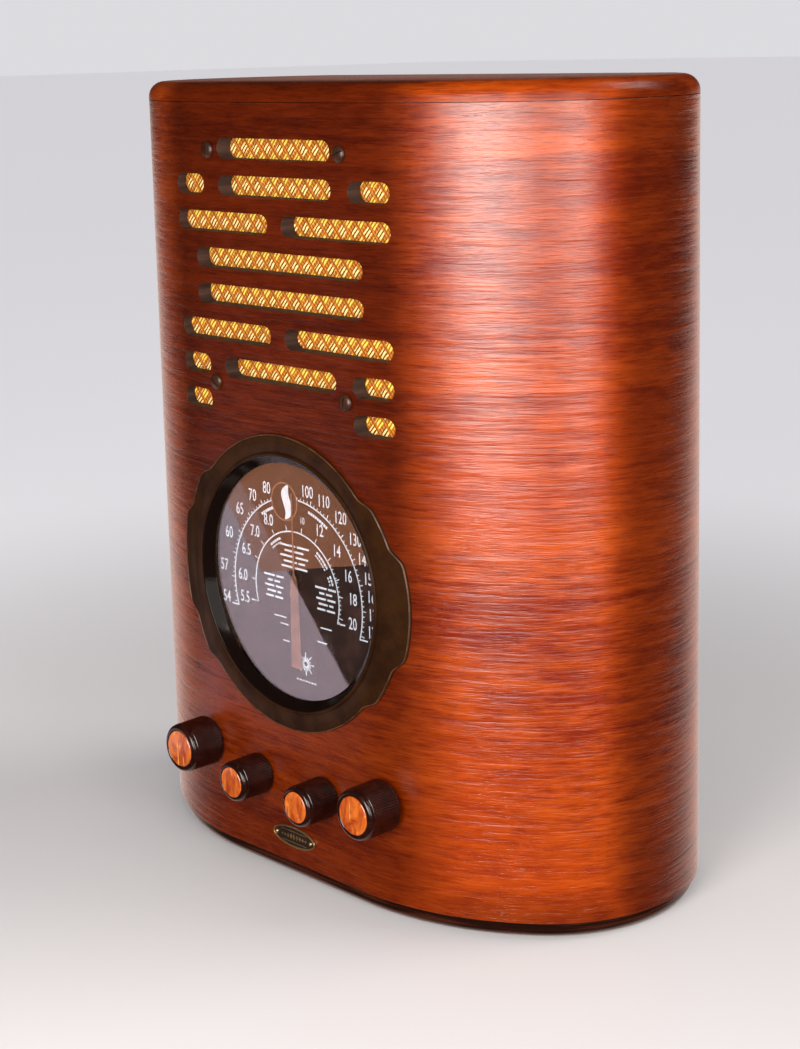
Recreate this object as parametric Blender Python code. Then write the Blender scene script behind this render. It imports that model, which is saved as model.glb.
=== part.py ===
"""A tombstone table radio of the valve era: its bent plywood case, dial, grille, knobs, chassis and loudspeaker.

Metres, +Z up. The front faces -Y, and the origin is at the middle of the overall box, on the ground.
Depths are measured from the case's front face towards its open back."""

import math

import bmesh
import bpy
from mathutils import Matrix, Vector

# Case
CASE_DEPTH = 0.156
KNOB_REACH = 0.0203
FRONT_Y = (KNOB_REACH - CASE_DEPTH) / 2
FLAT_HALF = 0.0476
EASE_RADIUS = 0.1373
EASE_ANGLE = math.radians(39.8)
END_RADIUS = 0.0757
WALL = 0.0085
BASE_HEIGHT = 0.0078
BODY_TOP = 0.386
TOP_THICKNESS = 0.009
TOP_ROUND = 0.0080
BASE_INSET = 0.0025
GAP = 0.0003
EASE_STEPS = 5
END_STEPS = 12
ROUND_STEPS = 3

# Grille: eight rows of slots with round ends
SLOT_HEIGHT = 0.010
SLOT_STEPS = 5
ROW_TOP = 0.3638
ROW_PITCH = 0.0179
MIDDLE_END = 0.0408
OUTER_FROM = 0.0520
OUTER_TO = 0.0767
CENTRE_BAR = 0.0050
LONG_END = 0.0603
BAFFLE_HALF = 0.0835
BAFFLE_LOW = 0.229
BAFFLE_HIGH = 0.378
BAFFLE_THICKNESS = 0.008
BAFFLE_HOLE = 0.060
LANDING_DEPTH = 0.0082
CLOTH_THICKNESS = 0.0006
SCREW_X = 0.0475
SCREW_TOP = 0.363
SCREW_LOW = 0.2483
SCREW_RADIUS = 0.0016
SCREW_HEAD = ((0.0041, GAP), (0.0041, 0.0007), (0.0031, 0.0017), (0.0016, 0.0022), (0, 0.0024))
SCREW_STEPS = 10

# Dial
DIAL_Z = 0.153
DIAL_HOLE = 0.0652
DIAL_OPENING = 0.0635
PIVOT_Z = 0.1467
PLATE_THICKNESS = 0.0012
DIAL_DEPTH_SPAN = 0.03
RIM_RADIUS = 0.0743
LOBE_RADIUS = 0.0784
EAR_RADIUS = 0.0838
SCALLOP = (
    (0.0, EAR_RADIUS),
    (17.5, EAR_RADIUS),
    (21.5, LOBE_RADIUS),
    (38.5, LOBE_RADIUS),
    (42.0, RIM_RADIUS),
    (90.0, RIM_RADIUS),
)
SCALLOP_STEP = 7.5
BEAD_TOP = 0.0028
BEAD_WIDTH = 0.0042
LIP = 0.0015
GLASS_DEPTH = 0.0036
GLASS_THICKNESS = 0.0016
SCALE_DEPTH = 0.0076
SCALE_RADIUS = 0.0615
SCALE_THICKNESS = 0.0008
SCALE_POSTS = ((-0.042, 0.118), (-0.042, 0.175), (0.042, 0.175))
POST_RADIUS = 0.0025
SPINDLE_HOLE = 0.0022
POINTER_DEPTH = 0.0060
POINTER_THICKNESS = 0.0005
POINTER_HALF = ((-0.0380, 0.0038), (0.0080, 0.0026), (0.0100, 0.0007), (0.0505, 0.0005))
POINTER_SPINDLE = ((0, -0.0062), (0.0015, -0.0062), (0.0015, 0), (0, 0.0006))
DIAL_STEPS = 44
LAMP_X = 0.012
LAMP_Z = 0.1937
LAMP_DEPTH = 0.0087
LAMP_HOLDER = {"outer": 0.0070, "inner": 0.0056, "length": 0.012}
LAMP_BULB = ((0, -0.022), (0.0030, -0.022), (0.0030, -0.016), (0.0050, -0.013), (0.0050, -0.006), (0, -0.001))

# Nameplate: an oval badge, with a pin near each end
BADGE_Z = 0.022
BADGE_HALF_LONG = 0.0156
BADGE_HALF_HIGH = 0.0054
BADGE_FACE = 0.0012
BADGE_PIN_X = 0.0130
BADGE_PIN = ((0, 0.0004), (0.0009, 0.0004), (0.0009, 0.0015), (0, 0.0018))

# Controls: where each shaft stands, and the size of its knob
OUTER_KNOB = {"x": 0.0658, "z": 0.0573, "radius": 0.0127, "insert": 0.0093}
INNER_KNOB = {"x": 0.0243, "z": 0.0500, "radius": 0.0104, "insert": 0.0077}
CONTROLS = (
    ("volume", -1, OUTER_KNOB),
    ("tone", -1, INNER_KNOB),
    ("band", 1, INNER_KNOB),
    ("tuning", 1, OUTER_KNOB),
)
KNOB_BACK = -0.0008
KNOB_STEPS = 22
SHAFT_RADIUS = 0.0030
SHAFT_HOLE = 0.0045
BORE_RADIUS = 0.0033
BORE_LENGTH = 0.012
INSERT_THICKNESS = 0.0012
CONTROL_CANS = {"volume": (0.0120, 0.016), "tone": (0.0120, 0.012), "band": (0.0155, 0.022)}
BUSH_RADIUS = 0.0048
BUSH_LENGTH = 0.006
SHAFT_TAIL = 0.004
BEARING_RADIUS = 0.0065
BEARING_END = 0.041
TUNING_SHAFT_END = 0.046

# Chassis and what stands on it
CHASSIS_HALF = 0.096
CHASSIS_FRONT = 0.028
CHASSIS_BACK = 0.140
CHASSIS_TOP = 0.074
SHEET = 0.0012
FLOOR = CHASSIS_TOP + GAP
CORD_X = -0.060
CORD_Z = 0.030
CORD_HOLE = 0.0055
GROMMET = (
    (0.0034, -0.003),
    (0.0075, -0.003),
    (0.0075, -GAP),
    (0.0052, -GAP),
    (0.0052, SHEET + GAP),
    (0.0075, SHEET + GAP),
    (0.0075, 0.0035),
    (0.0034, 0.0035),
)
VALVE_X = (-0.080, -0.040, 0.0, 0.040, 0.080)
VALVE_DEPTH = 0.117
VALVE_STEPS = 14
VALVE_BASE = ((0, 0), (0.0165, 0), (0.0165, 0.003), (0.0145, 0.004), (0.0145, 0.026), (0, 0.026))
VALVE_NECK = 0.0135
VALVE_CROWN = 0.0115
SIGNAL_VALVE = {"bulge": 0.0160, "height": 0.062}
RECTIFIER = {"bulge": 0.0175, "height": 0.072}
TRANSFORMER_X = 0.068
TRANSFORMER_DEPTH = 0.067
TRANSFORMER_CORE = (0.048, 0.042)
TRANSFORMER_COVER = (0.038, 0.034)
TRANSFORMER_LEVELS = (0, 0.012, 0.030, 0.054)
COVER_ROUND = 0.006
CAPACITOR_X = -0.046
CAPACITOR_DEPTH = 0.080
CAPACITOR = ((0, 0), (0.0125, 0), (0.0125, 0.062), (0.0110, 0.064), (0, 0.064))
IF_CAN_LOW = (-0.085, 0.037)
IF_CAN_HIGH = (-0.055, 0.067)
IF_CAN_HEIGHT = 0.078
IF_CAN_ROUND = 0.003

# Tuning capacitor, its bracket and its drive
GANG_FRONT = 0.034
GANG_BACK = 0.092
GANG_HALF = 0.026
GANG_LOW = 0.122
GANG_HIGH = 0.172
GANG_SHEET = 0.0015
FACE_HALF = 0.048
FACE_LOW = 0.113
FACE_HIGH = 0.182
VANE_RADIUS = 0.0205
VANE_THICKNESS = 0.0009
VANE_PITCH = 0.0078
VANE_COUNT = 6
VANE_START = 0.0068
HUB_RADIUS = 0.0045
CUP_RADIUS = 0.0055
STATOR_HALF = 0.0215
STATOR_SIDE = 0.0225
RAIL_OUTER = 0.0245
RAIL_HALF = 0.006
DRUM_RADIUS = 0.033
PULLEY_RADIUS = 0.0055
FLANGE = 0.002
FLANGE_HALF = 0.004
GROOVE_HALF = 0.0022
DRUM_STEPS = 28
DRUM_DEPTH = 0.0165
BELT_THICKNESS = 0.0012
BELT_HALF = 0.0018

# Loudspeaker: profiles of (radius, height) measured from the front of its rim
SPEAKER_Z = 0.301
SPEAKER_FRONT = LANDING_DEPTH + CLOTH_THICKNESS + BAFFLE_THICKNESS + 3 * GAP
SPEAKER_STEPS = 24
SPEAKER_BASKET = (
    (0.058, 0),
    (0.070, 0),
    (0.070, -0.0014),
    (0.061, -0.0014),
    (0.056, -0.012),
    (0.032, -0.036),
    (0.0185, -0.036),
    (0.0185, -0.0345),
    (0.031, -0.0345),
    (0.0545, -0.011),
)
SPEAKER_WINDOW = (0.037, 0.051)
WINDOW_SPREAD = math.radians(30)
WINDOW_FRONT = 0.005
WINDOW_BACK = 0.06
SPEAKER_CONE = (
    (0.0565, -0.0010),
    (0.0545, -0.0035),
    (0.019, -0.029),
    (0.012, -0.029),
    (0.012, -0.048),
    (0.0112, -0.048),
    (0.0112, -0.0275),
    (0.019, -0.0275),
    (0.0540, -0.0010),
)
SPEAKER_MAGNET = (
    (0.0128, -0.036 - GAP),
    (0.029, -0.036 - GAP),
    (0.029, -0.074),
    (0, -0.074),
    (0, -0.036),
    (0.0104, -0.036),
    (0.0104, -0.056),
    (0.0128, -0.056),
)
MAGNET_STEPS = 18


def clear_scene():
    for obj in list(bpy.data.objects):
        bpy.data.objects.remove(obj, do_unlink=True)


def finish(name, color, roughness, metallic=0.0, alpha=1.0):
    """A plain Principled material."""
    material = bpy.data.materials.new(name)
    material.use_nodes = True
    shader = material.node_tree.nodes["Principled BSDF"]
    shader.inputs["Base Color"].default_value = (*color, 1.0)
    shader.inputs["Roughness"].default_value = roughness
    shader.inputs["Metallic"].default_value = metallic
    shader.inputs["Alpha"].default_value = alpha
    return material


def depth(value):
    """World Y of a depth behind the case's front face."""
    return FRONT_Y + value


def arc(centre, radius, start, end, steps):
    """Points on an arc, its angles measured from the front (-Y, or -Z on an upright outline) towards +X."""
    points = []
    for k in range(steps + 1):
        angle = start + (end - start) * k / steps
        points.append((centre[0] + radius * math.sin(angle), centre[1] - radius * math.cos(angle)))
    return points


def case_half(inset, back):
    """Right half of the case's plan, moved in by inset, from the middle of the front to the back plane."""
    lean = EASE_RADIUS - END_RADIUS
    end_centre = (
        FLAT_HALF + lean * math.sin(EASE_ANGLE),
        EASE_RADIUS - lean * math.cos(EASE_ANGLE),
    )
    end_radius = END_RADIUS - inset
    last = math.acos((end_centre[1] - back) / end_radius)
    eased = arc((FLAT_HALF, EASE_RADIUS), EASE_RADIUS - inset, 0, EASE_ANGLE, EASE_STEPS)
    return eased + arc(end_centre, end_radius, EASE_ANGLE, last, END_STEPS)[1:]


def case_outline(inset, back=CASE_DEPTH):
    """The whole plan as world (x, y), from its back left corner round the front to its back right one."""
    half = case_half(inset, back)
    left = [(-x, y) for x, y in reversed(half)]
    return [(x, depth(y)) for x, y in left + half]


def circle(centre, radius, steps):
    return arc(centre, radius, 0, 2 * math.pi, steps)[:-1]


def slot(low_x, high_x, z):
    """A slot with round ends, as (x, z)."""
    radius = SLOT_HEIGHT / 2
    right = arc((high_x - radius, z), radius, 0, math.pi, SLOT_STEPS)
    left = arc((low_x + radius, z), radius, math.pi, 2 * math.pi, SLOT_STEPS)
    return right + left


def rectangle(low_x, high_x, low_y, high_y):
    return [(low_x, low_y), (high_x, low_y), (high_x, high_y), (low_x, high_y)]


def add_prism(bm, outline, low, high, along="Z"):
    """Extrudes an outline of (x, y) between two heights, or of (x, z) between two world Y values."""

    def point(a, b, h):
        return (a, b, h) if along == "Z" else (a, h, b)

    lower = [bm.verts.new(point(a, b, low)) for a, b in outline]
    upper = [bm.verts.new(point(a, b, high)) for a, b in outline]
    faces = [bm.faces.new(lower), bm.faces.new(upper)]
    count = len(outline)
    for k in range(count):
        nxt = (k + 1) % count
        faces.append(bm.faces.new((lower[k], lower[nxt], upper[nxt], upper[k])))
    bmesh.ops.recalc_face_normals(bm, faces=faces)


def prism(outline, low, high, along="Z"):
    bm = bmesh.new()
    add_prism(bm, outline, low, high, along)
    return bm


def box(low, high):
    return prism(rectangle(low[0], high[0], low[1], high[1]), low[2], high[2])


def turned(profile, segments, forward=True):
    """A solid turned from a profile of (radius, height). Heights run to the front (-Y), or up if not forward."""
    bm = bmesh.new()
    rings = []
    for radius, height in profile:
        if radius == 0:
            rings.append([bm.verts.new((0, 0, height))])
            continue
        ring = []
        for k in range(segments):
            angle = 2 * math.pi * k / segments
            ring.append(bm.verts.new((radius * math.cos(angle), radius * math.sin(angle), height)))
        rings.append(ring)
    for first, second in zip(rings, rings[1:] + rings[:1]):
        if len(first) == 1 and len(second) == 1:
            continue
        for k in range(segments):
            nxt = (k + 1) % segments
            corners = [first[k % len(first)], first[nxt % len(first)]]
            corners += [second[nxt % len(second)], second[k % len(second)]]
            bm.faces.new(list(dict.fromkeys(corners)))
    bmesh.ops.recalc_face_normals(bm, faces=bm.faces)
    if forward:
        bmesh.ops.rotate(bm, verts=bm.verts, cent=(0, 0, 0), matrix=Matrix.Rotation(math.pi / 2, 3, "X"))
    return bm


def rod(radius, low, high, segments=12):
    """A plain cylinder's profile."""
    return turned([(0, low), (radius, low), (radius, high), (0, high)], segments)


def tube(outer, inner, low, high, segments=32, forward=True):
    return turned([(inner, low), (outer, low), (outer, high), (inner, high)], segments, forward)


def place(name, bm, material, location=(0, 0, 0), parent=None):
    """Makes an object of the mesh. Under a parent, its place is kept in the parent's frame."""
    mesh = bpy.data.meshes.new(name)
    bm.to_mesh(mesh)
    bm.free()
    mesh.shade_smooth()
    mesh.set_sharp_from_angle(angle=math.radians(35))
    obj = bpy.data.objects.new(name, mesh)
    bpy.context.scene.collection.objects.link(obj)
    obj.location = location
    if parent:
        obj.parent = parent
        obj.location = Vector(location) - parent.location
    if material:
        mesh.materials.append(material)
    return obj


def pivot(name, location):
    empty = bpy.data.objects.new(name, None)
    empty.location = location
    bpy.context.scene.collection.objects.link(empty)
    return empty


def boolean(target, bm, operation="DIFFERENCE", location=(0, 0, 0)):
    """Cuts a hidden helper out of the target, or joins it on."""
    helper = place(f"{target.name}_{operation.lower()}_{len(target.modifiers)}", bm, None, location)
    helper.hide_render = True
    helper.display_type = "WIRE"
    if target.parent:
        helper.parent = target.parent
        helper.location = Vector(location) - target.parent.location
    modifier = target.modifiers.new(operation.lower(), "BOOLEAN")
    modifier.operation = operation
    modifier.solver = "EXACT"
    modifier.object = helper
    return target


def slots():
    """Every slot of the grille as (low x, high x, row)."""
    both = []
    for side in (-1, 1):
        outer = sorted((side * OUTER_FROM, side * OUTER_TO))
        wide = sorted((side * CENTRE_BAR, side * OUTER_TO))
        both += [(*outer, row) for row in (2, 7, 8)]
        both += [(*wide, row) for row in (3, 6)]
    middle = [(-MIDDLE_END, MIDDLE_END, row) for row in (1, 2, 7)]
    long = [(-LONG_END, LONG_END, row) for row in (4, 5)]
    return both + middle + long


def front_screws():
    return [(side * SCREW_X, z) for z in (SCREW_TOP, SCREW_LOW) for side in (-1, 1)]


def add_case(materials):
    wood = materials["wood"]
    outline = case_outline(0) + case_outline(WALL)[::-1]
    shell = place("cabinet_shell", prism(outline, BASE_HEIGHT + GAP, BODY_TOP - GAP), wood)
    landing = rectangle(-BAFFLE_HALF - GAP, BAFFLE_HALF + GAP, BAFFLE_LOW - GAP, BAFFLE_HIGH + GAP)
    boolean(shell, prism(landing, depth(LANDING_DEPTH), depth(3 * WALL), "Y"))
    holes = bmesh.new()
    front, back = depth(-WALL), depth(2 * WALL)
    for low_x, high_x, row in slots():
        add_prism(holes, slot(low_x, high_x, ROW_TOP - ROW_PITCH * (row - 1)), front, back, "Y")
    for x, z in front_screws():
        add_prism(holes, circle((x, z), SCREW_RADIUS + GAP, 12), front, back, "Y")
    for _, side, knob in CONTROLS:
        add_prism(holes, circle((side * knob["x"], knob["z"]), SHAFT_HOLE, 16), front, back, "Y")
    add_prism(holes, circle((0, DIAL_Z), DIAL_HOLE, DIAL_STEPS), front, back, "Y")
    boolean(shell, holes)

    place("top_board", rounded_board(0, BODY_TOP, BODY_TOP + TOP_THICKNESS, TOP_ROUND, True), wood)
    board = rounded_board(BASE_INSET, 0, BASE_HEIGHT, BASE_HEIGHT / 2, False)
    place("base_board", board, materials["dark_wood"])


def rounded_board(inset, low, high, radius, top):
    """A board of the case's plan. Its upper or lower edge is rounded, back edge included."""
    levels = []
    for k in range(ROUND_STEPS + 1):
        angle = math.pi / 2 * k / ROUND_STEPS
        pull = radius * (1 - math.cos(angle))
        rise = radius * math.sin(angle)
        levels.append((inset + pull, high - radius + rise if top else low + radius - rise))
    levels.insert(0, (inset, low if top else high))
    bm = bmesh.new()
    rings = []
    for pull, z in levels:
        plan = case_outline(pull, CASE_DEPTH - (pull - inset))
        rings.append([bm.verts.new((x, y, z)) for x, y in plan])
    count = len(rings[0])
    for first, second in zip(rings, rings[1:]):
        for k in range(count):
            nxt = (k + 1) % count
            bm.faces.new((first[k], first[nxt], second[nxt], second[k]))
    bm.faces.new(rings[0])
    bm.faces.new(rings[-1])
    bmesh.ops.recalc_face_normals(bm, faces=bm.faces)
    return bm


def add_grille(materials):
    cloth_front = depth(LANDING_DEPTH + GAP)
    cloth_back = cloth_front + CLOTH_THICKNESS
    board_front = cloth_back + GAP
    panel = rectangle(-BAFFLE_HALF, BAFFLE_HALF, BAFFLE_LOW, BAFFLE_HIGH)
    cloth = place("grille_cloth", prism(panel, cloth_front, cloth_back, "Y"), materials["cloth"])
    board = prism(panel, board_front, board_front + BAFFLE_THICKNESS, "Y")
    baffle = place("baffle_board", board, materials["board"])
    for target, extra in ((cloth, []), (baffle, [circle((0, SPEAKER_Z), BAFFLE_HOLE, 32)])):
        holes = bmesh.new()
        for x, z in front_screws():
            extra.append(circle((x, z), SCREW_RADIUS + GAP, 12))
        for outline in extra:
            add_prism(holes, outline, cloth_front - WALL, board_front + 2 * WALL, "Y")
        boolean(target, holes)
    for number, (x, z) in enumerate(front_screws(), 1):
        tip = -(BAFFLE_THICKNESS + LANDING_DEPTH + CLOTH_THICKNESS)
        shank = [(0, tip), (0.0007, tip + 0.001), (SCREW_RADIUS, tip + 0.003), (SCREW_RADIUS, GAP)]
        screw = turned(shank + list(SCREW_HEAD), SCREW_STEPS)
        place(f"baffle_screw_{number}", screw, materials["bronze"], (x, FRONT_Y, z))


def escutcheon_outline():
    """The dial plate's scalloped outline: a circle with a wide ear each side and a lobe above and below each ear."""
    quarter = []
    for (start, first), (end, second) in zip(SCALLOP, SCALLOP[1:]):
        count = max(2, round((end - start) / SCALLOP_STEP))
        for k in range(count):
            share = k / count
            blend = (1 - math.cos(math.pi * share)) / 2
            quarter.append((start + (end - start) * share, first + (second - first) * blend))
    half = quarter + [(180 - angle, radius) for angle, radius in [SCALLOP[-1]] + quarter[:0:-1]]
    whole = half + [(angle + 180, radius) for angle, radius in half]
    return [
        (radius * math.cos(math.radians(angle)), DIAL_Z + radius * math.sin(math.radians(angle)))
        for angle, radius in whole
    ]


def bead_profile():
    """The rolled bead round the opening, with the wall that runs in to the glass and a lip in front of it."""
    lip = DIAL_OPENING - LIP
    back = -GLASS_DEPTH + GAP
    wall = DIAL_HOLE - 2 * GAP
    foot = GAP * 1.5
    return [
        (lip, back),
        (wall, back),
        (wall, foot),
        (DIAL_OPENING + BEAD_WIDTH, foot),
        (DIAL_OPENING + BEAD_WIDTH, 0.0016),
        (DIAL_OPENING + 0.0030, BEAD_TOP - 0.0004),
        (DIAL_OPENING + 0.0018, BEAD_TOP),
        (DIAL_OPENING + 0.0005, BEAD_TOP - 0.0005),
        (DIAL_OPENING, 0.0012),
        (DIAL_OPENING - GAP, back + 0.0013),
        (lip, back + 0.0011),
    ]


def add_escutcheon(materials):
    """The pressed plate follows the front's curve: its blank is cut to the space just outside the case's skin."""
    skin = case_outline(-GAP, EASE_RADIUS / 2)
    follow = case_outline(-GAP - PLATE_THICKNESS, EASE_RADIUS / 2) + skin[::-1]
    blank = prism(escutcheon_outline(), depth(-DIAL_DEPTH_SPAN), depth(DIAL_DEPTH_SPAN), "Y")
    plate = place("dial_escutcheon", blank, materials["bronze"])
    boolean(plate, prism(follow, DIAL_Z - 2 * EAR_RADIUS, DIAL_Z + 2 * EAR_RADIUS), "INTERSECT")
    dial_centre = (0, FRONT_Y, DIAL_Z)
    boolean(plate, rod(DIAL_OPENING, -DIAL_DEPTH_SPAN, DIAL_DEPTH_SPAN, DIAL_STEPS), location=dial_centre)
    boolean(plate, turned(bead_profile(), DIAL_STEPS), "UNION", dial_centre)


def add_dial(materials):
    dial_centre = (0, FRONT_Y, DIAL_Z)
    glass = rod(DIAL_OPENING - 2 * GAP, -GLASS_DEPTH - GLASS_THICKNESS, -GLASS_DEPTH, DIAL_STEPS)
    place("dial_glass", glass, materials["glass"], dial_centre)

    face = rod(SCALE_RADIUS, -SCALE_DEPTH - SCALE_THICKNESS, -SCALE_DEPTH, DIAL_STEPS)
    scale = place("dial_plate", face, materials["dial"], dial_centre)
    posts = bmesh.new()
    post_start = depth(SCALE_DEPTH + SCALE_THICKNESS / 2)
    for x, z in SCALE_POSTS:
        add_prism(posts, circle((x, z), POST_RADIUS, 10), post_start, depth(GANG_FRONT - GAP), "Y")
    boolean(scale, posts, "UNION")
    boolean(scale, rod(SPINDLE_HOLE, -2 * SCALE_DEPTH, 0, 16), location=(0, FRONT_Y, PIVOT_Z))

    turn = pivot("pointer_pivot", (0, depth(POINTER_DEPTH), PIVOT_Z))
    right = [(half, z) for z, half in POINTER_HALF]
    left = [(-x, z) for x, z in reversed(right)]
    needle = prism(right + left, -POINTER_THICKNESS / 2, POINTER_THICKNESS / 2, "Y")
    pointer = place("dial_pointer", needle, materials["copper"], turn.location, turn)
    boolean(pointer, turned(POINTER_SPINDLE, 12), "UNION", turn.location)

    lamp_centre = (LAMP_X, depth(LAMP_DEPTH), LAMP_Z)
    holder = tube(LAMP_HOLDER["outer"], LAMP_HOLDER["inner"], -LAMP_HOLDER["length"], 0, 16)
    place("lamp_holder", holder, materials["steel"], lamp_centre)
    place("dial_lamp", turned(LAMP_BULB, 12), materials["valve_glass"], lamp_centre)


def add_nameplate(materials):
    outline = [(x * BADGE_HALF_LONG, z * BADGE_HALF_HIGH) for x, z in circle((0, 0), 1, 32)]
    face = prism(outline, -BADGE_FACE, -GAP, "Y")
    badge = place("nameplate", face, materials["brass"], (0, FRONT_Y, BADGE_Z))
    for side in (-1, 1):
        boolean(badge, turned(BADGE_PIN, 10), "UNION", (side * BADGE_PIN_X, FRONT_Y, BADGE_Z))


def knob_profile(radius, insert):
    """A knob as a plain turned solid, from the bore in its back to the recess in its face."""
    face = KNOB_REACH
    recess = face - INSERT_THICKNESS - GAP
    back = -KNOB_BACK
    return [
        (0, back + BORE_LENGTH),
        (BORE_RADIUS, back + BORE_LENGTH),
        (BORE_RADIUS, back),
        (radius - 0.0004, back),
        (radius, back + 0.001),
        (radius - 0.0004, face - 0.0020),
        (radius - 0.0012, face - 0.0006),
        (insert + GAP, face - 0.0003),
        (insert + GAP, recess),
        (0, recess),
    ]


def insert_profile(radius):
    face = KNOB_REACH
    back = face - INSERT_THICKNESS
    return [(0, back), (radius, back), (radius, face - 0.0005), (radius - 0.0006, face), (0, face)]


def tuning_shaft_profile(tip):
    """The tuning shaft carries the small pulley, whose groove lines up with the drum's."""
    groove = -DRUM_DEPTH
    flange = PULLEY_RADIUS + 0.0018
    front, back = groove + FLANGE_HALF, groove - FLANGE_HALF
    return [
        (0, tip),
        (SHAFT_RADIUS, tip),
        (SHAFT_RADIUS, front),
        (flange, front),
        (flange, front - 0.001),
        (PULLEY_RADIUS, groove + GROOVE_HALF),
        (PULLEY_RADIUS, groove - GROOVE_HALF),
        (flange, back + 0.001),
        (flange, back),
        (SHAFT_RADIUS, back),
        (SHAFT_RADIUS, -TUNING_SHAFT_END),
        (0, -TUNING_SHAFT_END),
    ]


def control_profile(radius, length, mounting, shaft_end):
    """A control's can behind the chassis, with the bush that its shaft turns in."""
    bush_front = -CHASSIS_FRONT + BUSH_LENGTH
    return [
        (0, mounting - length),
        (radius, mounting - length),
        (radius, mounting),
        (BUSH_RADIUS, mounting),
        (BUSH_RADIUS, bush_front),
        (SHAFT_RADIUS + GAP, bush_front),
        (SHAFT_RADIUS + GAP, shaft_end - GAP),
        (0, shaft_end - GAP),
    ]


def add_controls(materials):
    mounting = -(CHASSIS_FRONT + SHEET + GAP)
    tip = -KNOB_BACK + BORE_LENGTH - GAP
    shaft_end = mounting - SHAFT_TAIL
    for name, side, knob in CONTROLS:
        spot = (side * knob["x"], FRONT_Y, knob["z"])
        turn = pivot(f"{name}_pivot", spot)
        shape = turned(knob_profile(knob["radius"], knob["insert"]), KNOB_STEPS)
        place(f"{name}_knob", shape, materials["knob"], spot, turn)
        place(f"{name}_insert", turned(insert_profile(knob["insert"]), 20), materials["amber"], spot, turn)
        if name == "tuning":
            place("tuning_shaft", turned(tuning_shaft_profile(tip), 14), materials["steel"], spot, turn)
            collar = tube(BEARING_RADIUS, SHAFT_RADIUS + GAP, -BEARING_END, mounting, 16)
            place("tuning_bearing", collar, materials["brass"], spot)
            continue
        place(f"{name}_shaft", rod(SHAFT_RADIUS, shaft_end, tip), materials["steel"], spot, turn)
        can = control_profile(*CONTROL_CANS[name], mounting, shaft_end)
        place(f"{name}_control", turned(can, 16), materials["tin"], spot)


def valve_profile(valve):
    """A shouldered glass envelope standing on its base."""
    low = VALVE_BASE[-1][1] + GAP
    top = low + valve["height"]
    return [
        (0, low),
        (VALVE_NECK, low),
        (VALVE_NECK, low + 0.006),
        (valve["bulge"], low + 0.020),
        (valve["bulge"], low + 0.034),
        (VALVE_CROWN, low + 0.046),
        (VALVE_CROWN, top - 0.008),
        (0.0080, top - 0.002),
        (0, top),
    ]


def add_pan(materials):
    """A folded steel pan, open below, with its holes for the controls and the cord's grommet."""
    low = BASE_HEIGHT + GAP
    pan = box((-CHASSIS_HALF, depth(CHASSIS_FRONT), low), (CHASSIS_HALF, depth(CHASSIS_BACK), CHASSIS_TOP))
    chassis = place("chassis", pan, materials["tin"])
    inside_low = (-CHASSIS_HALF + SHEET, depth(CHASSIS_FRONT + SHEET), low - SHEET)
    inside_high = (CHASSIS_HALF - SHEET, depth(CHASSIS_BACK - SHEET), CHASSIS_TOP - SHEET)
    boolean(chassis, box(inside_low, inside_high))
    holes = bmesh.new()
    through = 4 * SHEET
    for name, side, knob in CONTROLS:
        radius = SHAFT_RADIUS + 2 * GAP if name == "tuning" else BUSH_RADIUS + GAP
        outline = circle((side * knob["x"], knob["z"]), radius, 16)
        add_prism(holes, outline, depth(CHASSIS_FRONT - through), depth(CHASSIS_FRONT + through), "Y")
    cord = circle((CORD_X, CORD_Z), CORD_HOLE, 16)
    add_prism(holes, cord, depth(CHASSIS_BACK - through), depth(CHASSIS_BACK + through), "Y")
    boolean(chassis, holes)
    place("cord_grommet", turned(GROMMET, 12), materials["rubber"], (CORD_X, depth(CHASSIS_BACK), CORD_Z))


def standing_box(size, low, high):
    """A box of the transformer: its plan's size, and its levels above the chassis."""
    half_x, half_y = size[0] / 2, size[1] / 2
    y = depth(TRANSFORMER_DEPTH)
    return box(
        (TRANSFORMER_X - half_x, y - half_y, FLOOR + low),
        (TRANSFORMER_X + half_x, y + half_y, FLOOR + high),
    )


def add_chassis_pieces(materials):
    for number, x in enumerate(VALVE_X, 1):
        valve = RECTIFIER if number == len(VALVE_X) else SIGNAL_VALVE
        spot = (x, depth(VALVE_DEPTH), FLOOR)
        place(f"valve_base_{number}", turned(VALVE_BASE, VALVE_STEPS, False), materials["bakelite"], spot)
        glass = turned(valve_profile(valve), VALVE_STEPS, False)
        place(f"valve_{number}", glass, materials["valve_glass"], spot)

    low, core_low, core_high, high = TRANSFORMER_LEVELS
    stand = standing_box(TRANSFORMER_COVER, low, core_low - GAP)
    place("transformer_base", stand, materials["painted_steel"])
    place("transformer_core", standing_box(TRANSFORMER_CORE, core_low, core_high), materials["iron"])
    cover = standing_box(TRANSFORMER_COVER, core_high + GAP, high)
    round_edges(place("transformer_cover", cover, materials["painted_steel"]), COVER_ROUND)

    can = turned(CAPACITOR, 16, False)
    place("filter_capacitor", can, materials["aluminium"], (CAPACITOR_X, depth(CAPACITOR_DEPTH), FLOOR))
    (low_x, front), (high_x, back) = IF_CAN_LOW, IF_CAN_HIGH
    shield = box((low_x, depth(front), FLOOR), (high_x, depth(back), FLOOR + IF_CAN_HEIGHT))
    round_edges(place("if_can", shield, materials["aluminium"]), IF_CAN_ROUND)


def round_edges(obj, width):
    bevel = obj.modifiers.new("bevel", "BEVEL")
    bevel.width = width
    bevel.segments = 2
    bevel.limit_method = "ANGLE"


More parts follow.
